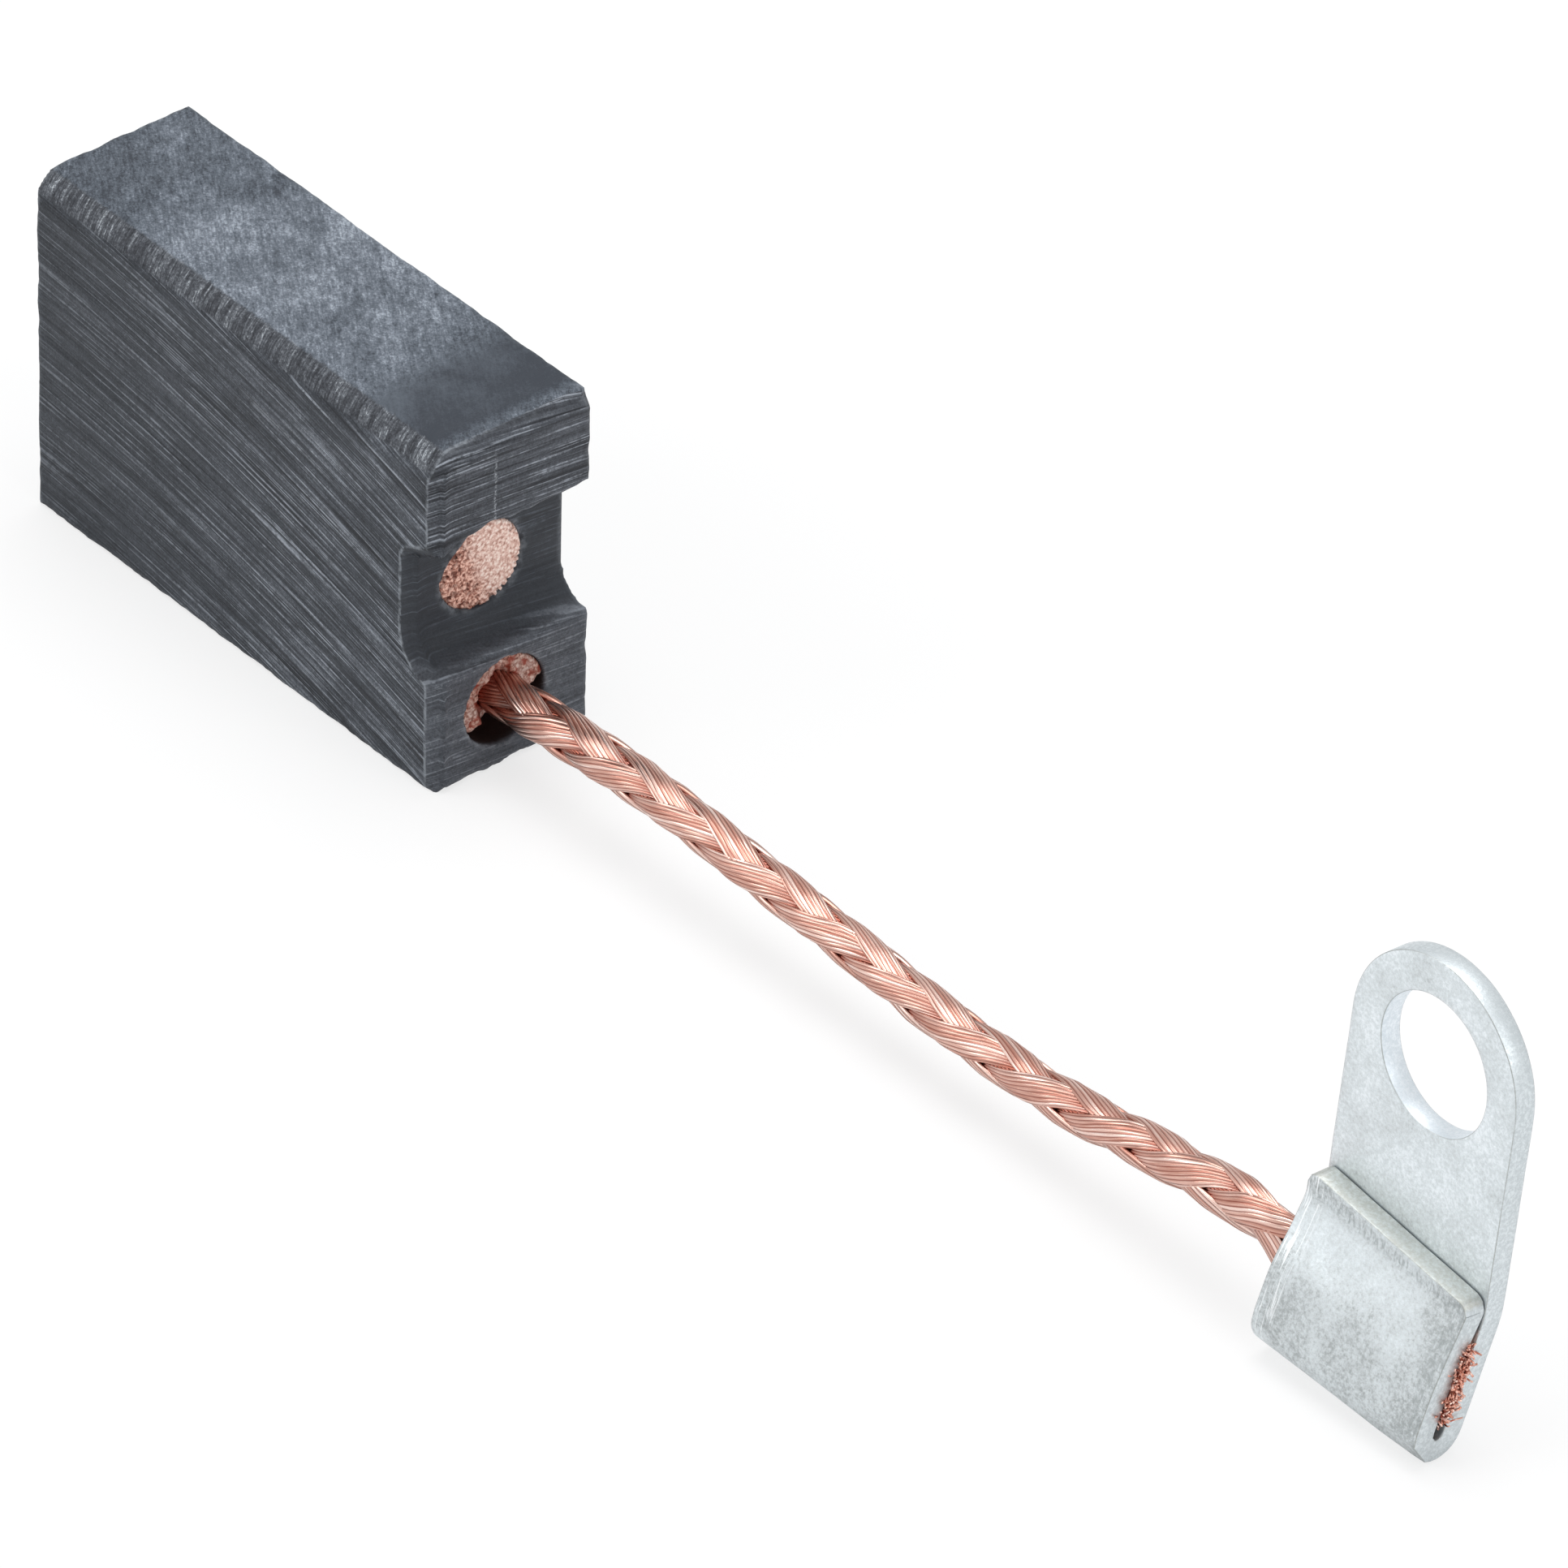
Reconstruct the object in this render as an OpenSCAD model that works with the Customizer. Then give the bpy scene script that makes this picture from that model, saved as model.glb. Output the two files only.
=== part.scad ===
// Carbon brush with a braided copper shunt and a folded flag terminal.
// The block stands on its narrow long face. +X runs from the running face to the shunt,
// +Y across the thickness, +Z up. The origin is the bottom centre of the carbon block.

/* [Carbon block] */
// Length of the block from the running face to the shunt end
block_len = 19.5; // [18:0.1:26]
// Thickness of the block
block_thick = 6; // [5.6:0.1:8]
// Height of the block
block_high = 12.5; // [12.2:0.1:16]
// Radius of the long top edge on the front side
edge_r = 1.05; // [0.2:0.05:1.5]
// Radius of the upright edge between the front side and the shunt end
corner_r = 0.45; // [0.1:0.05:0.8]

/* [Spring groove] */
// Depth of the groove that the pressure spring sits in
groove_deep = 1.25; // [1:0.05:1.5]
// Height of the lower edge of the groove
groove_low = 4.4; // [4.3:0.05:4.6]
// Height of the upper edge of the groove, under the lip
groove_high = 9.2; // [9:0.05:9.6]
// Radius of the concave lower side of the groove
groove_r = 1; // [0.6:0.05:1]

/* [Bores] */
// Distance that both bores lie off the middle of the thickness, toward the front
bore_off = 0.25; // [0:0.05:0.4]
// Diameter of the bore that the shunt is tamped into
wire_bore_d = 3.15; // [2.8:0.05:3.4]
// Height of the shunt bore
wire_bore_z = 2.4; // [2.2:0.05:2.5]
// Depth of the shunt bore
wire_bore_deep = 5.5; // [4:0.1:7]
// Diameter of the bore of the cut-off device
stop_bore_d = 3.2; // [2.8:0.05:3.4]
// Height of the cut-off bore
stop_bore_z = 6.8; // [6.7:0.05:7]
// Length of carbon between the running face and the tip of the cut-off pin
stop_wear = 4.2; // [3:0.1:5]

/* [Cut-off device] */
// Length of the tamped copper plug
plug_len = 3.9; // [2.5:0.1:4.5]
// Diameter of the shank of the insulating pin
pin_shank_d = 1.8; // [1.4:0.1:2.2]
// Length of the shank of the insulating pin
pin_shank_len = 3; // [2:0.1:3.5]
// Length of the head of the insulating pin
pin_head_len = 2; // [1.2:0.1:2.5]
// Diameter of the wire of the compression spring
spring_wire_d = 0.35; // [0.25:0.01:0.4]
// Number of turns of the compression spring
spring_turns = 7; // [5:1:9]

/* [Shunt] */
// Diameter of the braided copper shunt
shunt_d = 1.4; // [1.2:0.05:1.6]

/* [Terminal] */
// Diameter of the eye, a clearance hole for an M4 screw
eye_d = 4.5; // [4.3:0.1:4.8]
// Width of the terminal, and diameter of its round end
flag_wide = 7; // [6.8:0.1:8]
// Thickness of the tinned sheet
sheet_t = 0.75; // [0.5:0.05:0.8]
// Distance from the middle of the eye down to the bend
eye_to_bend = 6.95; // [6.5:0.05:7.5]
// Length of the crimp from the bend to the fold
crimp_len = 3.95; // [3.7:0.05:4.1]
// Forward slope of the crimp
crimp_slope = 14; // [8:1:16]
// Space between the sheets, which holds the flattened shunt
crimp_gap = 0.34; // [0.2:0.02:0.4]
// Slant of the tab's upper edge
tab_slant = 4; // [0:0.5:5]

/* [Hidden] */
$fn = 64;

// Clearances
snug = 0.01;       // tamped powder against the carbon
loose = 0.05;      // pin and spring in their bore
hair = 0.03;       // faces that touch without being joined
spare = 1;         // how far a cutting solid stands past what it cuts

// Carbon block
end_x = block_len / 2;                    // the shunt end
floor_x = end_x - groove_deep;            // floor of the spring groove
lip_draft = 20;                           // slope of the groove's upper side
wall_r = 0.3;                             // radius between upper side and floor
mouth_r = 0.3;                            // radius of the groove's lower lip
drill_slope = 31;                         // slope of the drill point that ends a bore
bore_y = -bore_off;

// Cut-off device, from the running face inward
tip_x = -end_x + stop_wear;
head_x = tip_x + pin_shank_len;
head_end_x = head_x + pin_head_len;
plug_x = floor_x - plug_len;
spring_len = plug_x - head_end_x - 2 * hair;
spring_r = stop_bore_d / 2 - loose - spring_wire_d / 2;
turn_sides = 16;
spigot_d = 2 * spring_r - spring_wire_d - 2 * loose;
spigot_len = 1.2;
pin_tip_r = pin_shank_d / 2;
shank_bore_d = pin_shank_d + 2 * loose;
tip_gap = hair + pin_tip_r * (1 / cos(drill_slope) - 1);       // from the domed tip to the point
shank_bore_x = tip_x - tip_gap + shank_bore_d / 2 * tan(drill_slope);

// Shunt
shunt_y = -0.2;
shunt_z = 2.5;
shunt_short = 0.6;                        // the shunt ends this far off the bottom of its bore
shunt_start_x = end_x - wire_bore_deep + shunt_short;
tamping_back = 0.2;                       // the tamped powder stops short of the end face
void_deep = 1.6;                          // hollow under the shunt at the mouth of the bore
void_turn = 35;                           // the hollow lies low and to the rear side
void_from = 0.62;                         // distance of the hollow from the bore's axis
pressed = 0.75;                           // the shunt narrows across as it enters the crimp
shunt_sides = 8;

// Terminal: its frame has +X along the width, +Y to the rear, +Z up to the eye
eye_at = [end_x + 39.65, 1.3, 11.75];     // middle of the eye on the front face
terminal_turn = [-3.8, 2.4, -0.7];
flag_r = flag_wide / 2;
fold_steps = 14;
tab_top = -eye_to_bend + 0.95;            // middle of the tab's upper edge
tab_knee = 1;                             // length of the tab's return to the plate
knee_out_z = -eye_to_bend + 0.4;          // the tab's knee, outside and inside
knee_in_z = -eye_to_bend + 0.2;
crimp_top = -eye_to_bend + 0.5;           // the plate goes over into the crimp here
bend_step = 2.8;                          // step along the rounded outside of the bend
strands_low = 0.25;                       // the flattened shunt lies this far below the middle
fray = 0.3;                               // the trimmed strands stand out of the crimp

// Route of the shunt's middle line, from inside the block to the terminal
route = [
    [shunt_start_x, shunt_y, shunt_z], [end_x - 2, shunt_y, shunt_z], [end_x, shunt_y, shunt_z],
    [end_x + 2.25, -0.2, 2.7], [end_x + 5.25, -0.2, 2.9], [end_x + 8.25, -0.2, 2.95],
    [end_x + 11.25, -0.15, 2.75], [end_x + 14.25, -0.1, 2.6], [end_x + 17.25, -0.05, 2.4],
    [end_x + 20.25, -0.05, 2.25], [end_x + 23.25, 0, 2.25], [end_x + 26.25, 0, 2.5],
    [end_x + 29.25, 0.05, 2.95], [end_x + 32.25, 0.1, 3.3], [end_x + 34.25, 0.1, 3.4]
];

// ---- vector helpers ----
function unit(v) = v / norm(v);
function turn_x(p, a) = [p.x, p.y * cos(a) - p.z * sin(a), p.y * sin(a) + p.z * cos(a)];
function turn_y(p, a) = [p.x * cos(a) + p.z * sin(a), p.y, p.z * cos(a) - p.x * sin(a)];
function turn_z(p, a) = [p.x * cos(a) - p.y * sin(a), p.x * sin(a) + p.y * cos(a), p.z];
function from_terminal(p) =
    eye_at + turn_z(turn_y(turn_x(p, terminal_turn.x), terminal_turn.y), terminal_turn.z);

// ---- solids through rings of points ----
// Every ring has the same number of points, in the same order.
function flat_list(rings) = [for (ring = rings) each ring];
function side_faces(rows, n) =
    [for (r = [0 : rows - 2], i = [0 : n - 1])
        let (j = (i + 1) % n, a = r * n, b = (r + 1) * n)
            each [[a + i, b + i, b + j], [a + i, b + j, a + j]]];

module skin(rings) {
    n = len(rings[0]);
    rows = len(rings);
    first_cap = [for (i = [0 : n - 1]) i];
    last_cap = [for (i = [n - 1 : -1 : 0]) (rows - 1) * n + i];
    polyhedron(points = flat_list(rings), faces = concat([first_cap], side_faces(rows, n), [last_cap]));
}

// A ring across a line, with half sizes a across and b up and down
function ring_across(mid, dir, a, b) =
    let (across = unit(cross([0, 0, 1], dir)), up = cross(dir, across))
        [for (i = [0 : shunt_sides - 1])
            let (t = 360 * (i + 0.5) / shunt_sides) mid + across * a * cos(t) + up * b * sin(t)];

function direction(i) =
    unit(route[min(i + 1, len(route) - 1)] - route[max(i - 1, 0)]);

// ---- carbon block ----
module side_outline() {
    difference() {
        translate([-end_x, 0])
            square([block_len, block_high]);
        groove_outline();
    }
}

// The spring groove, open toward the shunt end
module groove_outline() {
    low_floor = groove_low + groove_r;
    wall_x = floor_x + wall_r;
    wall_z = groove_high - (groove_deep - wall_r) * tan(lip_draft) - wall_r / cos(lip_draft);
    polygon(concat(
        [[end_x + spare, groove_high + spare * tan(lip_draft)]],
        [for (t = [90 + lip_draft : 10 : 180]) [wall_x + wall_r * cos(t), wall_z + wall_r * sin(t)]],
        [for (t = [180 : 10 : 260])
            [floor_x + groove_r + groove_r * cos(t), low_floor + groove_r * sin(t)]],
        [for (t = [85 : -15 : 10])
            [end_x - mouth_r + mouth_r * cos(t), groove_low - mouth_r + mouth_r * sin(t)]],
        [[end_x + spare, groove_low - mouth_r]]
    ));
}

// Section across the block, with the long top edge of the front side rounded
module end_outline() {
    difference() {
        translate([-block_thick / 2, 0])
            square([block_thick, block_high]);
        translate([-block_thick / 2, block_high - edge_r])
            difference() {
                translate([-spare, 0])
                    square([spare + edge_r, edge_r + spare]);
                translate([edge_r, 0])
                    circle(r = edge_r);
            }
    }
}

// Plan of the block, with the front corner of the shunt end rounded
module plan_outline() {
    difference() {
        translate([-end_x, -block_thick / 2])
            square([block_len, block_thick]);
        translate([end_x - corner_r, -block_thick / 2])
            difference() {
                translate([0, -spare])
                    square([corner_r + spare, spare + corner_r]);
                translate([0, corner_r])
                    circle(r = corner_r);
            }
    }
}

// A bore along X, entered from +X and closed by a drill point
module bore(d, from_x, to_x) {
    translate([from_x, 0, 0])
        rotate([0, 90, 0])
            cylinder(d = d, h = to_x - from_x);
    translate([from_x + 0.001, 0, 0])
        rotate([0, -90, 0])
            cylinder(d1 = d, d2 = 0, h = d / 2 * tan(drill_slope));
}

module carbon_block() {
    color("#3b3f45")
        difference() {
            intersection() {
                rotate([90, 0, 0])
                    linear_extrude(height = block_thick + 2 * spare, center = true)
                        side_outline();
                rotate([90, 0, 90])
                    linear_extrude(height = block_len + 2 * spare, center = true)
                        end_outline();
                linear_extrude(height = block_high)
                    plan_outline();
            }
            translate([0, bore_y, wire_bore_z])
                bore(wire_bore_d, end_x - wire_bore_deep, end_x + spare);
            translate([0, bore_y, stop_bore_z]) {
                bore(stop_bore_d, head_x, floor_x + spare);
                bore(shank_bore_d, shank_bore_x, floor_x);
            }
        }
}

// ---- cut-off device ----
module stop_plug() {
    color("#c98f78")
        translate([plug_x, bore_y, stop_bore_z])
            rotate([0, 90, 0])
                cylinder(d = stop_bore_d - 2 * snug, h = plug_len);
}

// Insulating pin: a domed shank, a head that the spring pushes on, and a spigot inside the coils
module stop_pin() {
    head_r = stop_bore_d / 2 - loose;
    color("#e8e2d0")
        translate([0, bore_y, stop_bore_z])
            rotate([0, 90, 0])
                rotate_extrude()
                    polygon(concat(
                        [for (t = [-90 : 15 : 0])
                            [pin_tip_r * cos(t), tip_x + pin_tip_r + pin_tip_r * sin(t)]],
                        [[pin_tip_r, head_x + hair], [head_r, head_x + hair], [head_r, head_end_x],
                         [spigot_d / 2, head_end_x], [spigot_d / 2, head_end_x + spigot_len],
                         [0, head_end_x + spigot_len]]
                    ));
}

module stop_spring() {
    steps = turn_sides * spring_turns;
    rise = (spring_len - spring_wire_d) / steps;
    wire_r = spring_wire_d / 2;
    rings = [for (i = [0 : steps])
        let (t = 360 * i / turn_sides,
             out = [0, cos(t), sin(t)],
             x = head_end_x + hair + wire_r + rise * i)
            [for (k = [0 : 5])
                [x, 0, 0] + out * (spring_r + wire_r * cos(60 * k)) - [wire_r * sin(60 * k), 0, 0]]];
    color("#9a9da1")
        translate([0, bore_y, stop_bore_z])
            skin(rings);
}

// ---- copper powder around the shunt, with a hollow under the shunt at the mouth ----
module wire_tamping() {
    from_x = end_x - wire_bore_deep;
    long = wire_bore_deep - tamping_back;
    color("#a9654e")
        difference() {
            translate([from_x, bore_y, wire_bore_z])
                rotate([0, 90, 0])
                    cylinder(d = wire_bore_d - 2 * snug, h = long);
            translate([shunt_start_x - snug, shunt_y, shunt_z])
                rotate([0, 90, 0])
                    cylinder(d = shunt_d + 2 * snug, h = wire_bore_deep);
            translate([end_x - void_deep, bore_y, wire_bore_z])
                rotate([void_turn, 0, 0])
                    translate([0, -wire_bore_d, -wire_bore_d - void_from])
                        cube([void_deep + spare, 2 * wire_bore_d, wire_bore_d]);
        }
}

// ---- terminal ----
// Sections lie in the plane of thickness (first number) and height (second number).
down = [-sin(crimp_slope), -cos(crimp_slope)];
forward = [-cos(crimp_slope), sin(crimp_slope)];
bend_at = [0, -eye_to_bend];
function front_face(s) = bend_at + down * s;

// One closed section of the crimp: rear sheet, fold and tab
function crimp_section() =
    let (
        fold_mid = front_face(crimp_len) + forward * crimp_gap / 2,
        knee_in = front_face(tab_knee) + forward * crimp_gap,
        over_top = tab_top + spare
    )
    concat(
        [[sheet_t, crimp_top]],
        [for (t = [0 : bend_step : crimp_slope]) bend_at + sheet_t * [cos(t), -sin(t)]],
        [for (i = [0 : fold_steps]) let (t = 180 * i / fold_steps)
            fold_mid + (sheet_t + crimp_gap / 2) * (down * sin(t) - forward * cos(t))],
        [knee_in + forward * sheet_t, [-hair - sheet_t, knee_out_z]],
        [[-hair - sheet_t, over_top], [-hair, over_top], [-hair, knee_in_z], knee_in],
        [for (i = [fold_steps : -1 : 0]) let (t = 180 * i / fold_steps)
            fold_mid + (crimp_gap / 2) * (down * sin(t) - forward * cos(t))],
        [bend_at, [0, crimp_top]]
    );

module crimp() {
    difference() {
        translate([-flag_r, 0, 0])
            rotate([90, 0, 90])
                linear_extrude(height = flag_wide)
                    polygon(crimp_section());
        translate([0, 0, tab_top])
            rotate([0, tab_slant, 0])
                translate([-flag_wide, -hair / 2 - flag_wide, 0])
                    cube([2 * flag_wide, flag_wide, 2 * spare + flag_wide * tan(tab_slant)]);
    }
}

// Flat plate with its round end and eye, down to the crimp
module plate() {
    translate([0, sheet_t, 0])
        rotate([90, 0, 0])
            linear_extrude(height = sheet_t)
                difference() {
                    union() {
                        circle(r = flag_r);
                        translate([-flag_r, crimp_top])
                            square([flag_wide, -crimp_top]);
                    }
                    circle(d = eye_d);
                }
}

module terminal() {
    color("#c9cdcf")
        translate(eye_at)
            rotate(terminal_turn) {
                plate();
                crimp();
            }
}

// ---- shunt: round along its route, then flattened between the sheets ----
// Inside the terminal: distance along the width, half height
squashed = [[-flag_r, 1.1], [-flag_r + 2, 1.5], [-flag_r + 4, 1.75], [flag_r + fray, 1.75]];
function squashed_ring(x, half_high) =
    let (mid = front_face(crimp_len / 2 + strands_low) + forward * crimp_gap / 2,
         half_thick = crimp_gap / 2 - snug)
    [for (i = [0 : shunt_sides - 1])
        let (t = 360 * (i + 0.5) / shunt_sides,
             p = mid - forward * half_thick * cos(t) / cos(180 / shunt_sides) - down * half_high * sin(t))
            from_terminal([x, p.x, p.y])];

module shunt() {
    r = shunt_d / 2;
    last = len(route) - 1;
    free = [for (i = [0 : last])
        let (flatter = i == last ? pressed : 1)
            ring_across(route[i], direction(i), r * flatter, r / flatter)];
    flat = [for (s = squashed) squashed_ring(s[0], s[1])];
    color("#c9826a")
        skin(concat(free, flat));
}

carbon_block();
stop_plug();
stop_spring();
stop_pin();
wire_tamping();
shunt();
terminal();
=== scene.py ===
import math

import bmesh
import bpy
import numpy as np
from mathutils import Matrix, Vector, noise


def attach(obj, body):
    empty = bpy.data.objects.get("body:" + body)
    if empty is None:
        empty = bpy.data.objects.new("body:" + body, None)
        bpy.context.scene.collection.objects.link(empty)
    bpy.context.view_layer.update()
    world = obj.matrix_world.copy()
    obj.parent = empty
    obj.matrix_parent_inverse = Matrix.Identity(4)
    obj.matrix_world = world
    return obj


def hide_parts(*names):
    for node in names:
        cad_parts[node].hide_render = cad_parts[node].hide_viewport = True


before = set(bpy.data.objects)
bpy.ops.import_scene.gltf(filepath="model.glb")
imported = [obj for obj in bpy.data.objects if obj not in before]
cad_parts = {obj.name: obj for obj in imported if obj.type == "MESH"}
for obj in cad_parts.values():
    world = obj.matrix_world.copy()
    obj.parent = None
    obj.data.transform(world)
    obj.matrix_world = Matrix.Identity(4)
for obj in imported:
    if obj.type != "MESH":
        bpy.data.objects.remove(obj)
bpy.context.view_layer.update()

# All shapes are worked out in millimetres and brought to metres when a mesh is finished.
MM = 0.001


# ---- sizes of the brush
END_X = 9.75            # shunt end of the block; the running end is at -END_X
NEAR_END = 6.0          # what lies beyond belongs to the shunt end
HALF_THICK = 3.0
BLOCK_HIGH = 12.5
LONG_EDGE_R = 1.05      # long top edge on the front side
UPRIGHT_R = 0.52        # front edge of the shunt end, followed down through the groove
TOP_EDGE_R = 0.1        # what is left of it on the top
UPRIGHT_SPREAD = 1.3    # how much wider it is on the shunt end than on the side
TOP_DRAWN_BACK = 0.3    # how far the shunt end falls back towards its top edge
GROOVE_FLOOR = 8.5
GROOVE_LOW = 4.4
GROOVE_HIGH = 9.2
GROOVE_R = 1.0          # between its lower side and its floor
GROOVE_WALL_R = 0.3     # between its floor and its upper side
GROOVE_LIP_R = 0.3      # between its lower side and the shunt end
GROOVE_DRAFT = math.radians(20)     # slant of its upper side
BORE_Y = -0.25
WIRE_BORE = (3.15, 2.4)     # diameter, height
WIRE_BORE_LONG = 5.5
STOP_BORE = (3.2, 6.8)
STOP_STEP_X = -2.55         # where the stop bore narrows to the pin's shank
SHANK_BORE_D = 1.9
SHUNT_SEAT = (-0.2, 2.5)    # where the shunt leaves its bore: y, height

SHUNT_D = 1.4
EYE_D = 4.5
FLAG_R = 3.5
SHEET_T = 0.75
EYE_TO_BEND = 6.95
CRIMP_LEN = 3.95
CRIMP_SLOPE = math.radians(14)
PRESSED_AT = CRIMP_LEN / 2 + 0.2    # how far below the bend the pressed shunt lies
EYE_AT = np.array([END_X + 39.65, 1.3, 11.75])
TERMINAL_TURN = (-3.8, 2.4, -0.7)


# ---- camera
def studio_camera():
    data = bpy.data.cameras.new("studio_camera")
    data.sensor_width = 36.0
    data.lens = 363.17
    data.clip_start = 0.02
    data.clip_end = 20.0
    camera = bpy.data.objects.new("studio_camera", data)
    bpy.context.collection.objects.link(camera)
    right = (0.64688188, 0.76231015, 0.02066571)
    up = (-0.46981426, 0.37703686, 0.79819657)
    back = (0.60068161, -0.52604794, 0.60204249)
    place = (0.30520844, -0.24767048, 0.28998129)
    camera.matrix_world = Matrix([*zip(right, up, back, place), (0, 0, 0, 1)])
    bpy.context.scene.camera = camera


# ---- small helpers
def linear(r, g, b):
    """Linear colour from a screen colour of 0 to 255."""
    def one(c):
        c /= 255.0
        return c / 12.92 if c <= 0.04045 else ((c + 0.055) / 1.055) ** 2.4
    return (one(r), one(g), one(b), 1.0)


def noise_at(points, size, seed=0.0):
    """Smooth noise of about -1 to 1 at every point, with lumps of the given size."""
    shift = Vector((seed * 7.31, seed * 3.17, seed * 5.53))
    return np.array([noise.noise(Vector(p) / size + shift) for p in points])


def smooth_step(x, low, high):
    t = np.clip((x - low) / (high - low), 0.0, 1.0)
    return t * t * (3.0 - 2.0 * t)


def raw_piece(name, points, faces):
    """A piece in millimetres, still to be shaped and brought to metres."""
    mesh = bpy.data.meshes.new(name)
    mesh.from_pydata(points, [], faces)
    piece = bpy.data.objects.new(name, mesh)
    bpy.context.collection.objects.link(piece)
    return piece


def new_piece(name, points, faces):
    """A finished piece from points in millimetres, smooth all over and facing outwards."""
    piece = raw_piece(name, (np.asarray(points) * MM).tolist(), faces)
    piece.data.shade_smooth()
    face_outwards(piece)
    return piece


def turn_faces(piece, wrong):
    """Makes all faces look the same way, and turns them all round if wrong(work) says so."""
    work = bmesh.new()
    work.from_mesh(piece.data)
    bmesh.ops.recalc_face_normals(work, faces=work.faces)
    work.faces.ensure_lookup_table()
    if wrong(work):
        bmesh.ops.reverse_faces(work, faces=work.faces)
    work.to_mesh(piece.data)
    work.free()


def face_outwards(piece):
    turn_faces(piece, lambda work: work.calc_volume(signed=True) < 0)


def keep_values(piece, **values):
    """Stores numbers for every point of the mesh, under their names, for the piece's material."""
    for name, numbers in values.items():
        layer = piece.data.attributes.new(name, "FLOAT", "POINT")
        layer.data.foreach_set("value", np.asarray(numbers, dtype=np.float32))


def points_of(piece):
    flat = np.empty(len(piece.data.vertices) * 3)
    piece.data.vertices.foreach_get("co", flat)
    return flat.reshape(-1, 3)


def set_points(piece, points):
    piece.data.vertices.foreach_set("co", np.asarray(points, dtype=float).ravel())
    piece.data.update()


def normals_of(piece):
    flat = np.empty(len(piece.data.vertices) * 3, dtype=np.float32)
    piece.data.vertex_normals.foreach_get("vector", flat)
    return flat.reshape(-1, 3).astype(float)


def edges_of(piece):
    flat = np.empty(len(piece.data.edges) * 2, dtype=np.int32)
    piece.data.edges.foreach_get("vertices", flat)
    return flat.reshape(-1, 2)


def neighbour_mean(values, edges):
    """The mean of what the neighbours of every point hold."""
    total = np.zeros_like(values)
    count = np.zeros(len(values))
    np.add.at(total, edges[:, 0], values[edges[:, 1]])
    np.add.at(total, edges[:, 1], values[edges[:, 0]])
    np.add.at(count, edges.ravel(), 1.0)
    return total / np.maximum(count, 1).reshape((-1,) + (1,) * (values.ndim - 1))


def spread(values, edges):
    """Evens values out between neighbouring points."""
    return 0.5 * values + 0.5 * neighbour_mean(values, edges)


def pick(piece):
    bpy.ops.object.select_all(action="DESELECT")
    piece.select_set(True)
    bpy.context.view_layer.objects.active = piece


def apply_modifier(piece, kind, **settings):
    pick(piece)
    modifier = piece.modifiers.new(kind.lower(), kind)
    for key, value in settings.items():
        setattr(modifier, key, value)
    bpy.ops.object.modifier_apply(modifier=modifier.name)


def bore_tool(diameter, from_x, to_x, y, z):
    """A cylinder along X that cuts a bore."""
    bpy.ops.object.select_all(action="DESELECT")
    bpy.ops.mesh.primitive_cylinder_add(
        vertices=72, radius=diameter / 2, depth=to_x - from_x,
        location=((from_x + to_x) / 2, y, z), rotation=(0, math.pi / 2, 0))
    return bpy.context.object


def cut_away(piece, tool):
    apply_modifier(piece, "BOOLEAN", operation="DIFFERENCE", solver="EXACT", object=tool)
    bpy.data.objects.remove(tool, do_unlink=True)


def slug(name, diameter, from_x, to_x, z):
    """A cylinder along X that fills a bore."""
    piece = bore_tool(diameter, from_x, to_x, BORE_Y, z)
    piece.name = name
    bpy.ops.object.transform_apply(location=True, rotation=True, scale=True)
    return piece


def bevel_edges(piece, chosen, width, segments):
    """Rounds the edges that chosen(a, b) picks by the places of their two ends."""
    pick(piece)
    bpy.ops.object.mode_set(mode="EDIT")
    bpy.ops.mesh.select_mode(type="EDGE")
    bpy.ops.mesh.select_all(action="DESELECT")
    work = bmesh.from_edit_mesh(piece.data)
    for edge in work.edges:
        if chosen(edge.verts[0].co, edge.verts[1].co):
            edge.select_set(True)
    bmesh.update_edit_mesh(piece.data)
    bpy.ops.mesh.bevel(offset=width, segments=segments, affect="EDGES", clamp_overlap=False)
    bpy.ops.object.mode_set(mode="OBJECT")


def to_metres(piece):
    """Brings a shaped piece from millimetres to metres, smooth all over."""
    set_points(piece, points_of(piece) * MM)
    piece.data.shade_smooth()


# ---- route of the shunt
def turned(p, angles):
    a, b, c = (math.radians(v) for v in angles)
    turn = (Matrix.Rotation(c, 3, "Z") @ Matrix.Rotation(b, 3, "Y") @ Matrix.Rotation(a, 3, "X"))
    return np.array(turn @ Vector(p))


def from_terminal(p):
    return EYE_AT + turned(p, TERMINAL_TURN)


CRIMP_DOWN = np.array([-math.sin(CRIMP_SLOPE), -math.cos(CRIMP_SLOPE)])
CRIMP_FORWARD = np.array([-math.cos(CRIMP_SLOPE), math.sin(CRIMP_SLOPE)])


def crimp_front(s):
    """Front face of the sheet, s below the bend, as depth and height."""
    return np.array([0.0, -EYE_TO_BEND]) + CRIMP_DOWN * s


# Middle line, half thickness and half height of the shunt, from the bottom of its bore
ROUTE = [
    (4.85, -0.2, 2.5, 0.70, 0.70), (7.75, -0.2, 2.5, 0.70, 0.72), (9.75, -0.2, 2.5, 0.74, 0.76),
    (12.0, -0.2, 2.7, 0.76, 0.78), (15.0, -0.2, 2.9, 0.74, 0.75), (18.0, -0.2, 2.95, 0.71, 0.72),
    (21.0, -0.15, 2.75, 0.70, 0.71), (24.0, -0.1, 2.6, 0.70, 0.70), (27.0, -0.05, 2.4, 0.70, 0.70),
    (30.0, -0.05, 2.25, 0.70, 0.70), (33.0, 0.0, 2.25, 0.70, 0.70), (36.0, 0.0, 2.5, 0.70, 0.71),
    (39.0, 0.05, 2.95, 0.70, 0.73), (42.0, 0.1, 3.3, 0.66, 0.82), (44.0, 0.1, 3.4, 0.54, 0.97),
]
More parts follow.
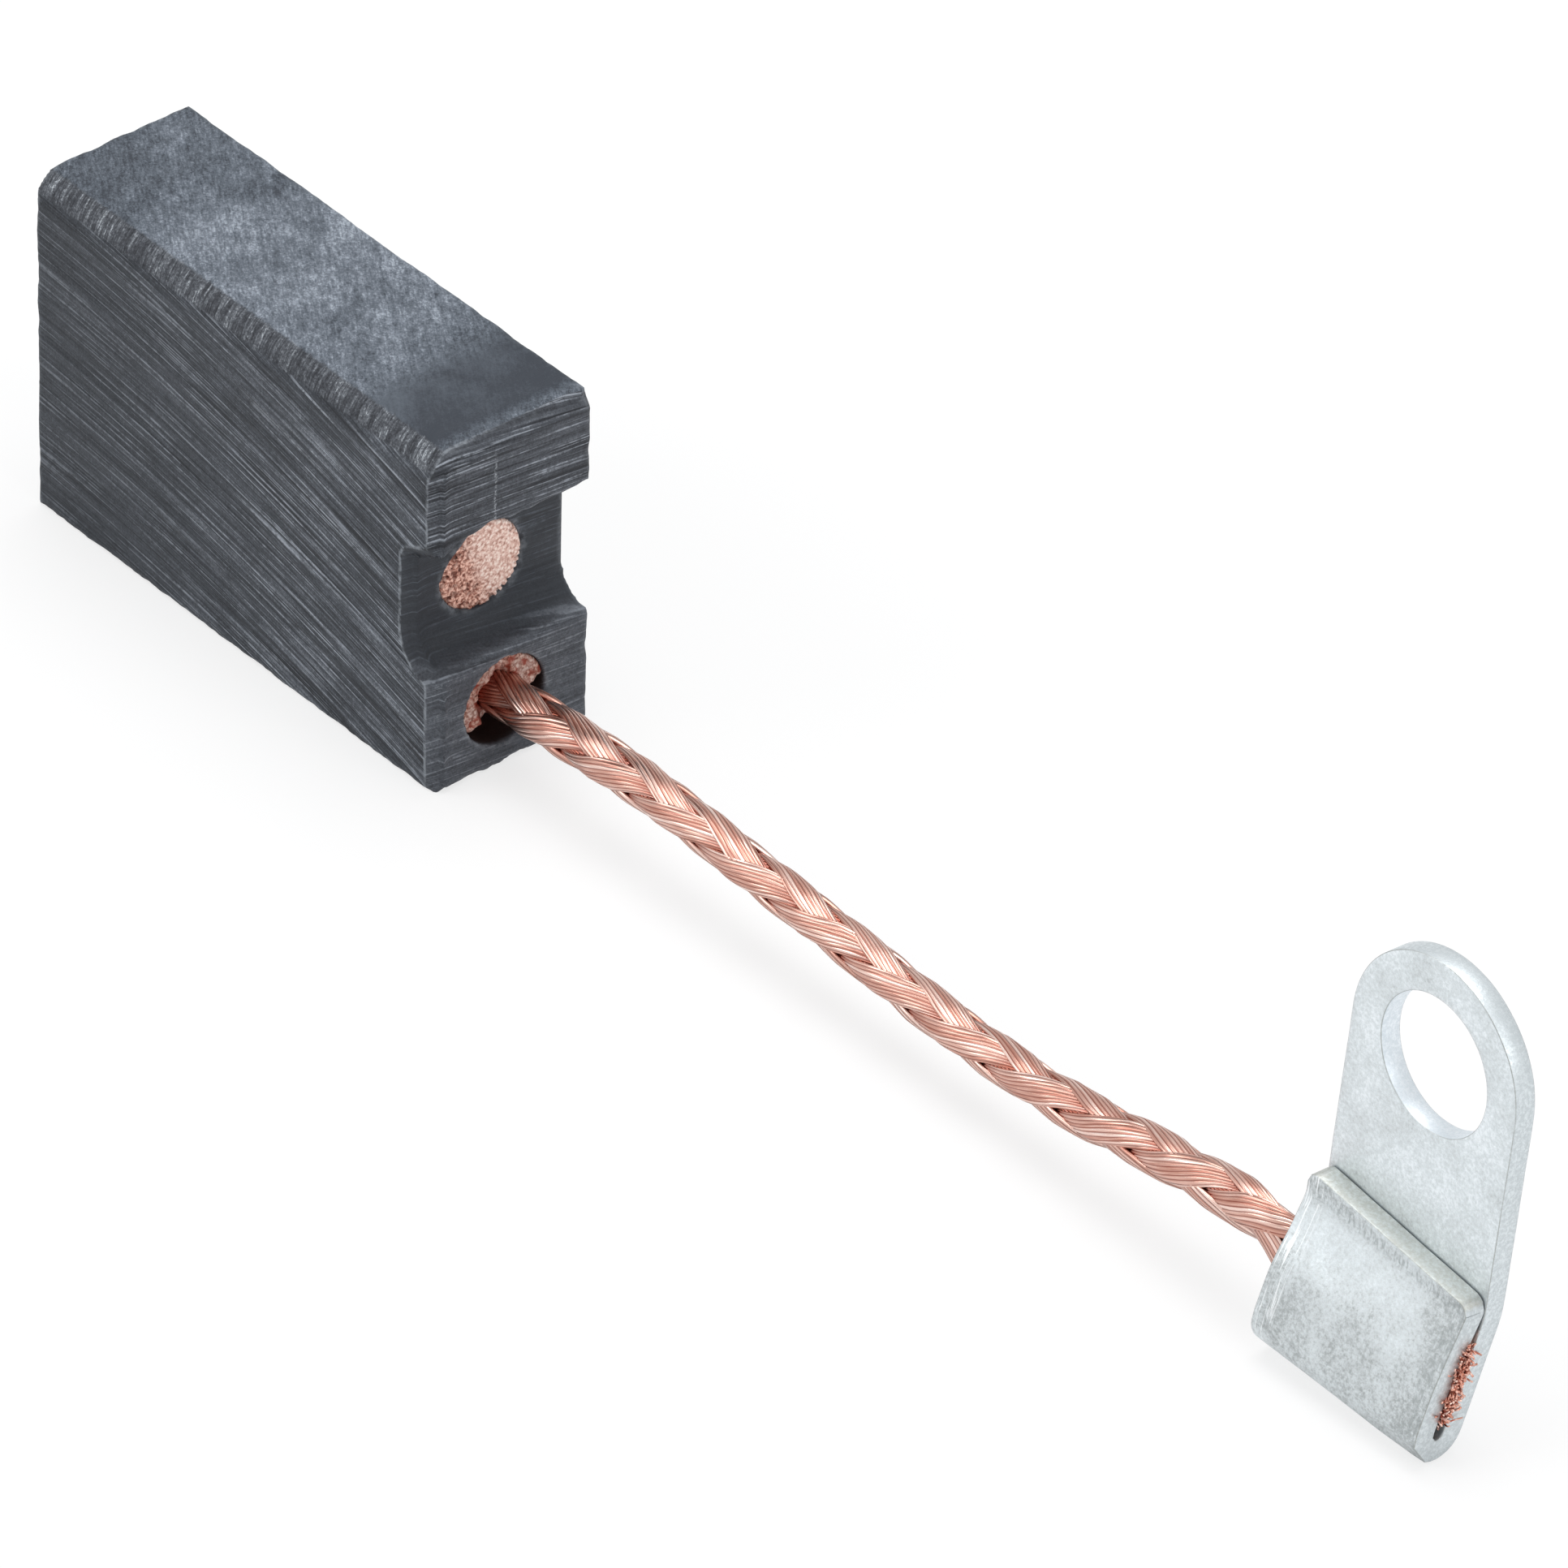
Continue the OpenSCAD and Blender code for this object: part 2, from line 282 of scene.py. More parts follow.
# The same in the crimp, where the middle line's place follows from how far across it lies
IN_CRIMP = [(-3.5, 0.27, 1.08), (-1.5, 0.19, 1.4), (0.5, 0.15, 1.62), (3.45, 0.14, 1.7)]


def shunt_stations():
    rows = [list(r) + [0.0] for r in ROUTE]
    deep, tall = crimp_front(PRESSED_AT) + CRIMP_FORWARD * 0.19
    for across, thick, high in IN_CRIMP:
        rows.append([*from_terminal((across, deep, tall)), thick, high, 1.0])
    return np.array(rows)


SUBSTEPS = 24


def smooth_line(rows, step):
    """A curve through all rows, with points an equal step apart along it."""
    padded = np.vstack([2 * rows[0] - rows[1], rows, 2 * rows[-1] - rows[-2]])
    fine = []
    for i in range(1, len(padded) - 2):
        p0, p1, p2, p3 = padded[i - 1:i + 3]
        for t in np.linspace(0, 1, SUBSTEPS, endpoint=False):
            fine.append(0.5 * (2 * p1 + (p2 - p0) * t + (2 * p0 - 5 * p1 + 4 * p2 - p3) * t * t
                               + (3 * p1 - p0 - 3 * p2 + p3) * t ** 3))
    fine.append(rows[-1])
    fine = np.array(fine)
    gone = np.concatenate([[0], np.cumsum(np.linalg.norm(np.diff(fine[:, :3], axis=0), axis=1))])
    at = np.linspace(0, gone[-1], int(round(gone[-1] / step)) + 1)
    return at, np.array([np.interp(at, gone, fine[:, k]) for k in range(fine.shape[1])]).T


# ---- braided shunt
CARRIERS = 4             # strands that run each way round
LAY = 13.0               # length in which a strand goes once round
STRAND_RING = 0.455      # middle radius of the strands, at a shunt radius of 0.7
STRAND_RISE = 0.105      # how far a strand rises and dips as it crosses the others
STRAND_HALF = 0.15       # half its thickness
STRAND_SPAN = 0.80       # half its width, as an angle round the shunt
STRAND_ROUND = 3.4       # how square its section is: 2 is an ellipse
WIRES = 9                # fine wires side by side on a strand
WIRE_DIP = 0.036
BRAID_STEP = 0.215
CORE_SHARE = 0.5         # radius of the inner wires, as a share of the shunt's
CORE_SIDES = 14
ROUND_TURN = math.radians(72)      # the braid as a whole, turned on its axis
CARRIED_ON = 1.2         # and moved on along it
ROUND_DRIFT = math.radians(-1.0)   # and slowly twisted along it


def tube_faces(start, rings, sides):
    """Faces of a closed tube, whose rings of points follow each other from the start."""
    faces = []
    last = start + (rings - 1) * sides
    for a in range(start, last, sides):
        for i in range(sides):
            n = (i + 1) % sides
            faces.append((a + i, a + n, a + sides + n, a + sides + i))
    faces.append(tuple(range(start + sides - 1, start - 1, -1)))
    faces.append(tuple(range(last, last + sides)))
    return faces


def strand_section():
    """One strand's outline: how far across each of its points lies, how deep in a valley
    between two wires, and how many of them are on the outside."""
    across = [-1.0]
    dip = [1.0]
    for wire in range(WIRES):
        for part, depth in ((0.24, 0.0), (0.76, 0.0), (1.0, 1.0)):
            across.append(-1.0 + 2.0 * (wire + part) / WIRES)
            dip.append(depth)
    outer = len(across)
    under = np.linspace(0.86, -0.86, 7)
    return np.concatenate([across, under]), np.concatenate([dip, np.ones(len(under))]), outer


def braid_shunt():
    at, line = smooth_line(shunt_stations(), BRAID_STEP)
    middle, thick, high, crimped = line[:, :3], line[:, 3], line[:, 4], line[:, 5]
    ahead = np.gradient(middle, axis=0)
    ahead /= np.linalg.norm(ahead, axis=1)[:, None]
    rear = np.cross([0, 0, 1.0], ahead)
    rear /= np.linalg.norm(rear, axis=1)[:, None]
    top = np.cross(ahead, rear)
    # In the crimp its section turns with the terminal
    crimp_rear = turned((0, -CRIMP_FORWARD[0], -CRIMP_FORWARD[1]), TERMINAL_TURN)
    crimp_top = turned((0, -CRIMP_DOWN[0], -CRIMP_DOWN[1]), TERMINAL_TURN)
    share = np.clip(crimped, 0, 1)[:, None]
    rear = rear * (1 - share) + crimp_rear * share
    top = top * (1 - share) + crimp_top * share

    def ring_at(j, out, turn):
        flat = out * np.cos(turn) * thick[j]
        tall = out * np.sin(turn) * high[j]
        return middle[j] + np.outer(flat, rear[j]) + np.outer(tall, top[j])

    across, dip, outer = strand_section()
    ring = len(across)
    edge = np.sqrt(np.clip(1 - np.abs(across) ** STRAND_ROUND, 0, 1))
    wire_of = np.clip(((across + 1) / 2 * WIRES - 0.01).astype(int), 0, WIRES - 1)
    crossing = (at - CARRIED_ON) / (LAY / (2 * CARRIERS))
    points, faces, uvs = [], [], []
    valley, rise_of, tone = [], [], []
    dice = np.random.default_rng(11)
    for way in (1, -1):
        for k in range(CARRIERS):
            wire_tone = dice.random(WIRES)
            seed = 3.0 + k + 10 * (way + 1)
            # Two over, two under, and the other way's strands half a wave behind
            wave = np.cos(2 * np.pi * (way * crossing + 2 * k + (way - 1.5)) / 4)
            wave = np.clip(wave * 1.25, -1, 1)
            faces.extend(tube_faces(len(points), len(at), ring))
            for j, s in enumerate(at):
                slow = noise.noise(Vector((s * 0.22, seed, 0.5)))
                wobble = noise.noise(Vector((s * 0.55, seed, 7.5)))
                angle = (way * 2 * math.pi * (s - CARRIED_ON) / LAY + math.pi / 2 * k
                         + 0.11 * slow + ROUND_TURN + ROUND_DRIFT * s)
                radius = STRAND_RING + STRAND_RISE * wave[j] + 0.012 * wobble
                span = STRAND_SPAN * (1.0 + 0.16 * wobble + 0.06 * wave[j])
                turn = angle + across * span + 0.02 * np.sin(s * 1.9 + across * 5.0 + seed)
                lifts = [noise.noise(Vector((s * 0.35, w * 1.7, seed))) for w in range(WIRES)]
                lift = STRAND_HALF * edge - WIRE_DIP * dip + 0.014 * np.array(lifts)[wire_of] * edge
                lift[outer:] = -STRAND_HALF * edge[outer:]
                points.extend(ring_at(j, (radius + lift) / (SHUNT_D / 2), turn))
                valley.extend(dip)
                rise_of.extend([0.5 + 0.5 * wave[j]] * ring)
                tone.extend(wire_tone[wire_of])
                uvs.extend(zip(k * 1.3 + (way + 1) * 4 + across * 0.5, [s / 10.0] * ring))
    # The inner wires, seen in the small openings between the strands; they are set low and half in a valley,
    # so that their material paints them in shade
    faces.extend(tube_faces(len(points), len(at), CORE_SIDES))
    for j, s in enumerate(at):
        points.extend(ring_at(j, CORE_SHARE, 2 * np.pi * np.arange(CORE_SIDES) / CORE_SIDES + s * 0.4))
        valley.extend([0.5] * CORE_SIDES)
        rise_of.extend([0.15] * CORE_SIDES)
        tone.extend([0.4] * CORE_SIDES)
        uvs.extend(zip(np.arange(CORE_SIDES) / CORE_SIDES * 3.0, [s / 10.0] * CORE_SIDES))
    piece = new_piece("braided_shunt", points, faces)
    keep_values(piece, valley=valley, rise=rise_of, tone=tone)
    layer = piece.data.uv_layers.new(name="along_wires")
    which = np.empty(len(piece.data.loops), dtype=np.int32)
    piece.data.loops.foreach_get("vertex_index", which)
    layer.data.foreach_set("uv", np.array(uvs, dtype=np.float32)[which].ravel())
    route = [tuple(p * MM) for p in middle[::6]] + [tuple(middle[-1] * MM)]
    return piece, route, float(at[-1]) * MM


WISPS = 250
WISP_SIDES = 5
WISP_RINGS = 6
WISPS_FROM = 3.3         # how far across the crimp they start, just inside its edge


def trimmed_wires():
    """Ends of fine wires that stand out of the crimp where the shunt was trimmed."""
    dice = np.random.default_rng(5)
    points, faces, tips = [], [], []
    middle = crimp_front(PRESSED_AT) + CRIMP_FORWARD * 0.17
    # How high along the crimp, how deep in it, how long and how thick each wire is
    wires = []
    for _ in range(WISPS):
        along = dice.uniform(-1.15, 1.22)
        wires.append((along, dice.uniform(-0.17, 0.17), dice.uniform(0.22, 0.58), dice.uniform(0.028, 0.042)))
    wires += [(-1.45, -0.02, 0.85, 0.026), (-1.3, 0.05, 0.7, 0.026)]
    for along, deep, reach, r in wires:
        depth_height = middle - CRIMP_DOWN * along - CRIMP_FORWARD * (deep - 0.05)
        here = np.array([WISPS_FROM, *depth_height])
        aim = np.array([1.0, dice.normal(0, 0.22), dice.normal(0, 0.5)])
        bend = dice.normal(0, 0.9, 3)
        bend[0] *= 0.3
        spine = []
        for _ in range(WISP_RINGS):
            spine.append(from_terminal(here))
            aim = aim + bend * 0.16 + dice.normal(0, 0.22, 3)
            aim /= np.linalg.norm(aim)
            here = here + aim * reach / (WISP_RINGS - 1)
        spine = np.array(spine)
        faces.extend(tube_faces(len(points), WISP_RINGS, WISP_SIDES))
        for ring, (p, t) in enumerate(zip(spine, np.gradient(spine, axis=0))):
            t = t / np.linalg.norm(t)
            a = np.cross(t, [0.3, 0.2, 0.9])
            a /= np.linalg.norm(a)
            b = np.cross(t, a)
            for i in range(WISP_SIDES):
                q = 2 * math.pi * i / WISP_SIDES
                points.append(p + r * (a * math.cos(q) + b * math.sin(q)))
            tips.extend([(ring + 1) / WISP_RINGS] * WISP_SIDES)
    piece = new_piece("trimmed_wires", points, faces)
    keep_values(piece, towards_tip=tips)
    return piece


# ---- carbon block
def block_profile():
    """The block's outline from the side, as x and height, from its lower running corner round."""
    def arc(x, z, r, angles):
        return [(x + r * math.cos(math.radians(t)), z + r * math.sin(math.radians(t))) for t in angles]
    wall_z = (GROOVE_HIGH - (END_X - GROOVE_FLOOR - GROOVE_WALL_R) * math.tan(GROOVE_DRAFT)
              - GROOVE_WALL_R / math.cos(GROOVE_DRAFT))
    return ([(-END_X, 0), (END_X, 0)]
            + arc(END_X - GROOVE_LIP_R, GROOVE_LOW - GROOVE_LIP_R, GROOVE_LIP_R, range(10, 86, 15))
            + arc(GROOVE_FLOOR + GROOVE_R, GROOVE_LOW + GROOVE_R, GROOVE_R, range(260, 179, -10))
            + arc(GROOVE_FLOOR + GROOVE_WALL_R, wall_z, GROOVE_WALL_R, range(180, 109, -10))
            + [(END_X, GROOVE_HIGH), (END_X, BLOCK_HIGH), (-END_X, BLOCK_HIGH)])


# Edges of the block that are worn: a point on the edge, the two faces' directions, the even
# wear and the uneven wear
WORN_EDGES = [
    ((END_X, 0, BLOCK_HIGH), (1, 0, 0), (0, 0, 1), 0.05, 0.06),
    ((-END_X, 0, BLOCK_HIGH), (-1, 0, 0), (0, 0, 1), 0.05, 0.05),
    ((0, HALF_THICK, BLOCK_HIGH), (0, 1, 0), (0, 0, 1), 0.05, 0.04),
    ((END_X, HALF_THICK, 0), (1, 0, 0), (0, 1, 0), 0.04, 0.06),
    ((-END_X, HALF_THICK, 0), (-1, 0, 0), (0, 1, 0), 0.04, 0.05),
    ((-END_X, -HALF_THICK, 0), (-1, 0, 0), (0, -1, 0), 0.05, 0.05),
    ((END_X, 0, 0), (1, 0, 0), (0, 0, -1), 0.05, 0.12),
    ((-END_X, 0, 0), (-1, 0, 0), (0, 0, -1), 0.05, 0.06),
    ((0, -HALF_THICK, 0), (0, -1, 0), (0, 0, -1), 0.05, 0.05),
    ((0, HALF_THICK, 0), (0, 1, 0), (0, 0, -1), 0.05, 0.05),
    ((END_X, 0, GROOVE_HIGH), (1, 0, 0), (-0.34, 0, -0.94), 0.03, 0.04),
]
WORN_WITHIN = 0.6       # no face is worn further than this from its edge


def wear_plane(points, at, direction, depth):
    """Presses what stands beyond a plane back onto it."""
    direction = np.array(direction, dtype=float)
    direction /= np.linalg.norm(direction)
    over = (points - np.array(at)) @ direction + depth
    return points - np.maximum(over, 0)[:, None] * direction


def lip_and_top(points):
    """The tongue that the groove's cutter left on the lip at the front, and the top edge of
    the shunt end, worn back."""
    points = points.copy()
    x, y, z = points.T
    ragged = 0.04 * noise_at(np.stack([y, 0 * y, 0 * y], 1), 0.5, 43.0)
    notch = 0.16 * np.exp(-((y + 0.8) / 0.5) ** 2)
    tongue = 0.6 * np.clip((-2.05 - y) / 0.95, 0, 1) ** 1.2 - notch + ragged
    points[:, 2] -= (tongue * smooth_step(z, 8.2, 8.75) * (1 - smooth_step(z, 9.35, 10.4))
                     * smooth_step(x, 7.7, 8.0))
    worn = TOP_DRAWN_BACK * np.clip((z - 11.95) / 0.55, 0, 1) ** 1.6 * smooth_step(3.3 - y, 0.0, 1.2)
    points[:, 0] -= worn * smooth_step(x, 7.0, 9.0)
    return points


def inside_profile(points, profile):
    """How deep every point lies behind the shunt end and its groove, and the way out."""
    chain = np.array([p for p in profile if p[0] > 0])
    flat = points[:, [0, 2]]
    best = np.full(len(flat), 9.0)
    out = np.zeros((len(flat), 2))
    for p, q in zip(chain[:-1], chain[1:]):
        span = q - p
        t = np.clip(((flat - p) @ span) / (span @ span), 0, 1)
        gap = flat - (p + t[:, None] * span)
        size = np.linalg.norm(gap, axis=1)
        closer = size < best
        best[closer] = size[closer]
        out[closer] = -gap[closer] / np.maximum(size[closer], 1e-9)[:, None]
    return best, out


def round_front_edge(points, profile):
    """Rounds the edge between the shunt end, with its groove, and the front side and long edge.
    Gives back the points, how far behind the rounding each of them lies, and how far behind
    the face of the end."""
    x, y, z = points.T
    edge_y, edge_z = -HALF_THICK + LONG_EDGE_R, BLOCK_HIGH - LONG_EDGE_R
    deep, out = inside_profile(points, profile)
    # How deep each point lies under the front side, the long edge or the top, and which way out
    in_corner = (y < edge_y) & (z > edge_z)
    nearer_top = z - edge_z > edge_y - y
    spoke = np.stack([y - edge_y, z - edge_z], 1)
    length = np.maximum(np.linalg.norm(spoke, axis=1), 1e-9)
    under = np.where(in_corner, LONG_EDGE_R - length, np.where(
        nearer_top, np.minimum(BLOCK_HIGH - z, 9), y + HALF_THICK))
    side_way = np.where(in_corner[:, None], spoke / length[:, None], np.where(
        nearer_top[:, None], np.array([0.0, 1.0]), np.array([-1.0, 0.0])))
    # The rounding shrinks as it climbs round the long edge onto the top
    climb = np.arctan2(np.maximum(z - edge_z, 0), np.maximum(edge_y - y, 1e-6)) / (math.pi / 2)
    climb = np.where(z < edge_z, 0.0, np.clip(climb, 0, 1))
    radius = UPRIGHT_R + (TOP_EDGE_R - UPRIGHT_R) * climb
    wide = radius * (1 + (UPRIGHT_SPREAD - 1) * (1 - climb))
    near = (deep < radius) & (under < wide) & (x > NEAR_END)
    a = (radius - deep) / radius
    b = (wide - under) / wide
    size = np.hypot(a, b)
    pull = np.where(near & (size > 1), 1 / np.maximum(size, 1e-9), 1.0)
    shift_deep = (a - a * pull) * radius
    shift_under = (b - b * pull) * wide
    moved = points.copy()
    moved[:, 0] -= out[:, 0] * shift_deep
    moved[:, 2] -= out[:, 1] * shift_deep
    moved[:, 1] -= side_way[:, 0] * shift_under
    moved[:, 2] -= side_way[:, 1] * shift_under
    reach = np.where(x > NEAR_END, deep - radius, 3.0)
    return moved, np.clip(reach, -3, 3), np.clip(deep + shift_deep, 0, 2) * (x > NEAR_END)


def sawn_block():
    """The block as it is sawn, grooved and bored, before any wear."""
    profile = block_profile()
    piece = raw_piece("carbon_body", [(x, -HALF_THICK, z) for x, z in profile], [tuple(range(len(profile)))])
    pick(piece)
    bpy.ops.object.mode_set(mode="EDIT")
    bpy.ops.mesh.select_all(action="SELECT")
    bpy.ops.mesh.extrude_region_move(TRANSFORM_OT_translate={"value": (0, 2 * HALF_THICK, 0)})
    bpy.ops.mesh.select_all(action="SELECT")
    bpy.ops.mesh.normals_make_consistent(inside=False)
    bpy.ops.object.mode_set(mode="OBJECT")

    def on_long_edge(p):
        return abs(p.y + HALF_THICK) < 1e-4 and p.z > BLOCK_HIGH - 1e-4
    bevel_edges(piece, lambda a, b: on_long_edge(a) and on_long_edge(b), LONG_EDGE_R, 10)
    cut_away(piece, bore_tool(WIRE_BORE[0], END_X - WIRE_BORE_LONG, END_X + 1, BORE_Y, WIRE_BORE[1]))
    cut_away(piece, bore_tool(STOP_BORE[0], STOP_STEP_X, END_X + 1, BORE_Y, STOP_BORE[1]))
    cut_away(piece, bore_tool(SHANK_BORE_D, -5.3, 0, BORE_Y, STOP_BORE[1]))
    apply_modifier(piece, "REMESH", mode="VOXEL", voxel_size=0.12, adaptivity=0.0)
    return piece


def worn_points(points):
    """The block's points with its edges and corners worn and broken."""
    points = points.copy()
    for n, (at, one, two, even, uneven) in enumerate(WORN_EDGES):
        away = [np.abs((points - at) @ np.array(way, dtype=float)) for way in (one, two)]
        near = np.maximum(*away) < WORN_WITHIN
        chosen = points[near]
        depth = (even + uneven * (0.5 + noise_at(chosen, 0.9, n + 1.0))
                 + 0.5 * uneven * noise_at(chosen, 0.3, n + 20.0))
        points[near] = wear_plane(chosen, at, np.add(one, two), depth)
    points = lip_and_top(points)
    # The broken rear corner of the lip, and the two corners rubbed off at the bottom
    rough = 0.05 * noise_at(points, 0.35, 41.0)
    for at, direction, depth in (((END_X, HALF_THICK, BLOCK_HIGH), (1, 1, 0.6), 0.30),
                                 ((END_X, -HALF_THICK, 0), (1, -1, -1.2), 0.18),
                                 ((END_X, HALF_THICK, 0), (1, 1, -1), 0.18)):
        points = wear_plane(points, at, direction, depth + rough)
    return points


def carbon_block():
    piece = sawn_block()
    points, reach, behind = round_front_edge(points_of(piece), block_profile())
    points = worn_points(points)
    set_points(piece, points)
    # A fine unevenness everywhere, so that no face is a perfect plane
    rough = 0.0022 * noise_at(points, 0.8, 51.0) + 0.0022 * noise_at(points, 0.25, 52.0)
    points = points + normals_of(piece) * rough[:, None]
    set_points(piece, points)
    # Edges stand out from their neighbours, and are rubbed bright, but not inside the rounding
    edges = edges_of(piece)
    stand = np.einsum("ij,ij->i", points - neighbour_mean(points, edges), normals_of(piece))
    wear = spread(smooth_step(spread(stand, edges), 0.006, 0.018), edges)
    wear = wear * (1 - smooth_step(-reach, 0.05, 0.15) * smooth_step(-2.0 - points[:, 1], 0, 0.2))
    keep_values(piece, wear=wear, reach=reach, behind=behind)
    # The mouth of the upper bore is closed in where the copper is missing
    x, y, z = points.T
    from_bore = np.hypot(y - BORE_Y, z - STOP_BORE[1])
    missing, _ = plug_edge(np.arctan2(z - STOP_BORE[1], y - BORE_Y))
    close = (missing * smooth_step(x, GROOVE_FLOOR - 0.5, GROOVE_FLOOR - 0.1)
             * (1 - smooth_step(from_bore, 1.62, 2.2)) * smooth_step(from_bore, 1.3, 1.5)
             * (x < GROOVE_FLOOR + 0.3))
    points[:, 1] -= (y - BORE_Y) / np.maximum(from_bore, 0.1) * close
    points[:, 2] -= (z - STOP_BORE[1]) / np.maximum(from_bore, 0.1) * close
    set_points(piece, points)
    # The wall of the shunt's bore is marked, so that its material paints it dark as shade inside the bore
    wall_r = WIRE_BORE[0] / 2 + 0.105
    bored = ((y - BORE_Y) ** 2 + (z - WIRE_BORE[1]) ** 2 < wall_r ** 2) & (x < END_X - 0.1) & (x > 4)
    keep_values(piece, bored=spread(bored.astype(float), edges))
    to_metres(piece)
    return piece


# ---- tamped copper powder
def plug_edge(around):
    """How much the copper falls short of the full bore, round its mouth: a corner of it is
    missing at the upper front, and its rim is notched."""
    missing = 0.04 + 0.36 * np.exp(-((around - math.radians(128)) / math.radians(44)) ** 2)
    spots = np.stack([np.cos(around), np.sin(around), 0 * around], 1) * 1.6
    notch = np.maximum(noise_at(spots, 0.13, 65.0) - 0.02, 0) * 0.62 + 0.05 * noise_at(spots, 0.5, 66.0)
    return missing, notch


def stop_plug_grain():
    """The copper plug of the cut-off bore, with its ragged granular end in the groove."""
    radius = STOP_BORE[0] / 2 - 0.01
    piece = slug("plug_grain", 2 * radius, 4.6, GROOVE_FLOOR, STOP_BORE[1])
    apply_modifier(piece, "REMESH", mode="VOXEL", voxel_size=0.055, adaptivity=0.0)
    points = points_of(piece)
    x = points[:, 0]
    y = points[:, 1] - BORE_Y
    z = points[:, 2] - STOP_BORE[1]
    out = np.hypot(y, z)
    mouth = smooth_step(x, GROOVE_FLOOR - 0.12, GROOVE_FLOOR - 0.01)
    rim = smooth_step(out, radius - 0.25, radius)
    grain = noise_at(points, 0.16, 61.0) + 0.6 * noise_at(points, 0.08, 62.0)
    # The rear half is rubbed flat, the front half is pitted
    rubbed = smooth_step(y * 0.8 + z * 0.25 + 0.3 * noise_at(points, 0.4, 63.0), -0.45, 0.15)
    pits = smooth_step(noise_at(points, 0.17, 64.0), 0.05, 0.35)
    x += mouth * (0.022 + 0.012 * grain * (1 - 0.6 * rubbed) - (1 - rubbed) * (0.03 + 0.07 * pits))
    missing, notch = plug_edge(np.arctan2(z, y))
    push = 1 - mouth * (rim * notch + smooth_step(out, 0.6, radius) * missing) / radius
    points[:, 1] = BORE_Y + y * push
    points[:, 2] = STOP_BORE[1] + z * push
    set_points(piece, points)
    # The pits are marked for painted shade
    keep_values(piece, dull=1 - rubbed, deep=0.6 * pits * (1 - rubbed))
    to_metres(piece)
    return piece


def cut_beneath(piece, at_x, long, degrees, drop):
    """Cuts off what lies beneath a slanting plane in the shunt's bore."""
    d, z_mid = WIRE_BORE
    turn = math.radians(degrees)
    away = drop + d / 2
    bpy.ops.object.select_all(action="DESELECT")
    bpy.ops.mesh.primitive_cube_add(
        size=1, location=(at_x, BORE_Y + away * math.sin(turn), z_mid - away * math.cos(turn)),
        rotation=(turn, 0, 0), scale=(long, 2 * d, d))
    cut_away(piece, bpy.context.object)


def wire_tamping_grain():
    """Copper powder tamped round the shunt, open beneath it where the powder fell out."""
    d, z_mid = WIRE_BORE
    seat_y, seat_z = SHUNT_SEAT
    piece = slug("tamping_grain", d - 0.02, END_X - WIRE_BORE_LONG, END_X - 0.12, z_mid)
    cut_away(piece, bore_tool(SHUNT_D + 0.06, END_X - 4.95, END_X + 1, seat_y, seat_z))
    cut_beneath(piece, END_X - 0.3, 2.6, 35, 0.62)
    # Right at the mouth more of it is gone
    cut_beneath(piece, END_X, 1.5, 14, 0.36)
    apply_modifier(piece, "REMESH", mode="VOXEL", voxel_size=0.07, adaptivity=0.0)
    points = points_of(piece)
    x = points[:, 0]
    y = points[:, 1] - BORE_Y
    z = points[:, 2] - z_mid
    mouth = smooth_step(x, END_X - 2.2, END_X - 0.3)
    grain = noise_at(points, 0.2, 71.0) + 0.6 * noise_at(points, 0.1, 72.0)
    from_wire = np.hypot(points[:, 1] - seat_y, points[:, 2] - seat_z)
    left = smooth_step(-(y * 0.85 - z * 0.3), -0.1, 0.35)
    hollow = left * smooth_step(1.15 - from_wire, 0.0, 0.35) * smooth_step(x, END_X - 1.2, END_X - 0.2)
    x -= hollow * 0.4
    x += mouth * 0.09 * grain * (1 - smooth_step(np.hypot(y, z), 1.45, 1.56))
    inner = mouth * smooth_step(1.1 - from_wire, 0.0, 0.3)
    points[:, 1] += inner * 0.03 * grain
    points[:, 2] += inner * 0.03 * noise_at(points, 0.18, 74.0)
    set_points(piece, points)
    patch = smooth_step(noise_at(points, 0.34, 75.0) + 0.5 * noise_at(points, 0.15, 77.0), -0.05, 0.3)
    spots = smooth_step(noise_at(points, 0.2, 76.0), 0.0, 0.3)
    # Painted shade in the hollow and further into the bore, with dark specks that the powder itself has
    deep = hollow + smooth_step(END_X - 0.35 - x, 0.0, 0.9)
    deep = np.clip(0.7 * deep + 0.9 * spots * (1 - 0.6 * patch), 0, 1)
    keep_values(piece, dull=1 - 0.8 * patch, deep=deep)
    to_metres(piece)
    return piece


# ---- terminal
FOLD_ROWS = 700         # points along the fold's line
FOLD_COLUMNS = 29       # lines across the sheet
TAB_CORNER_R = 0.42


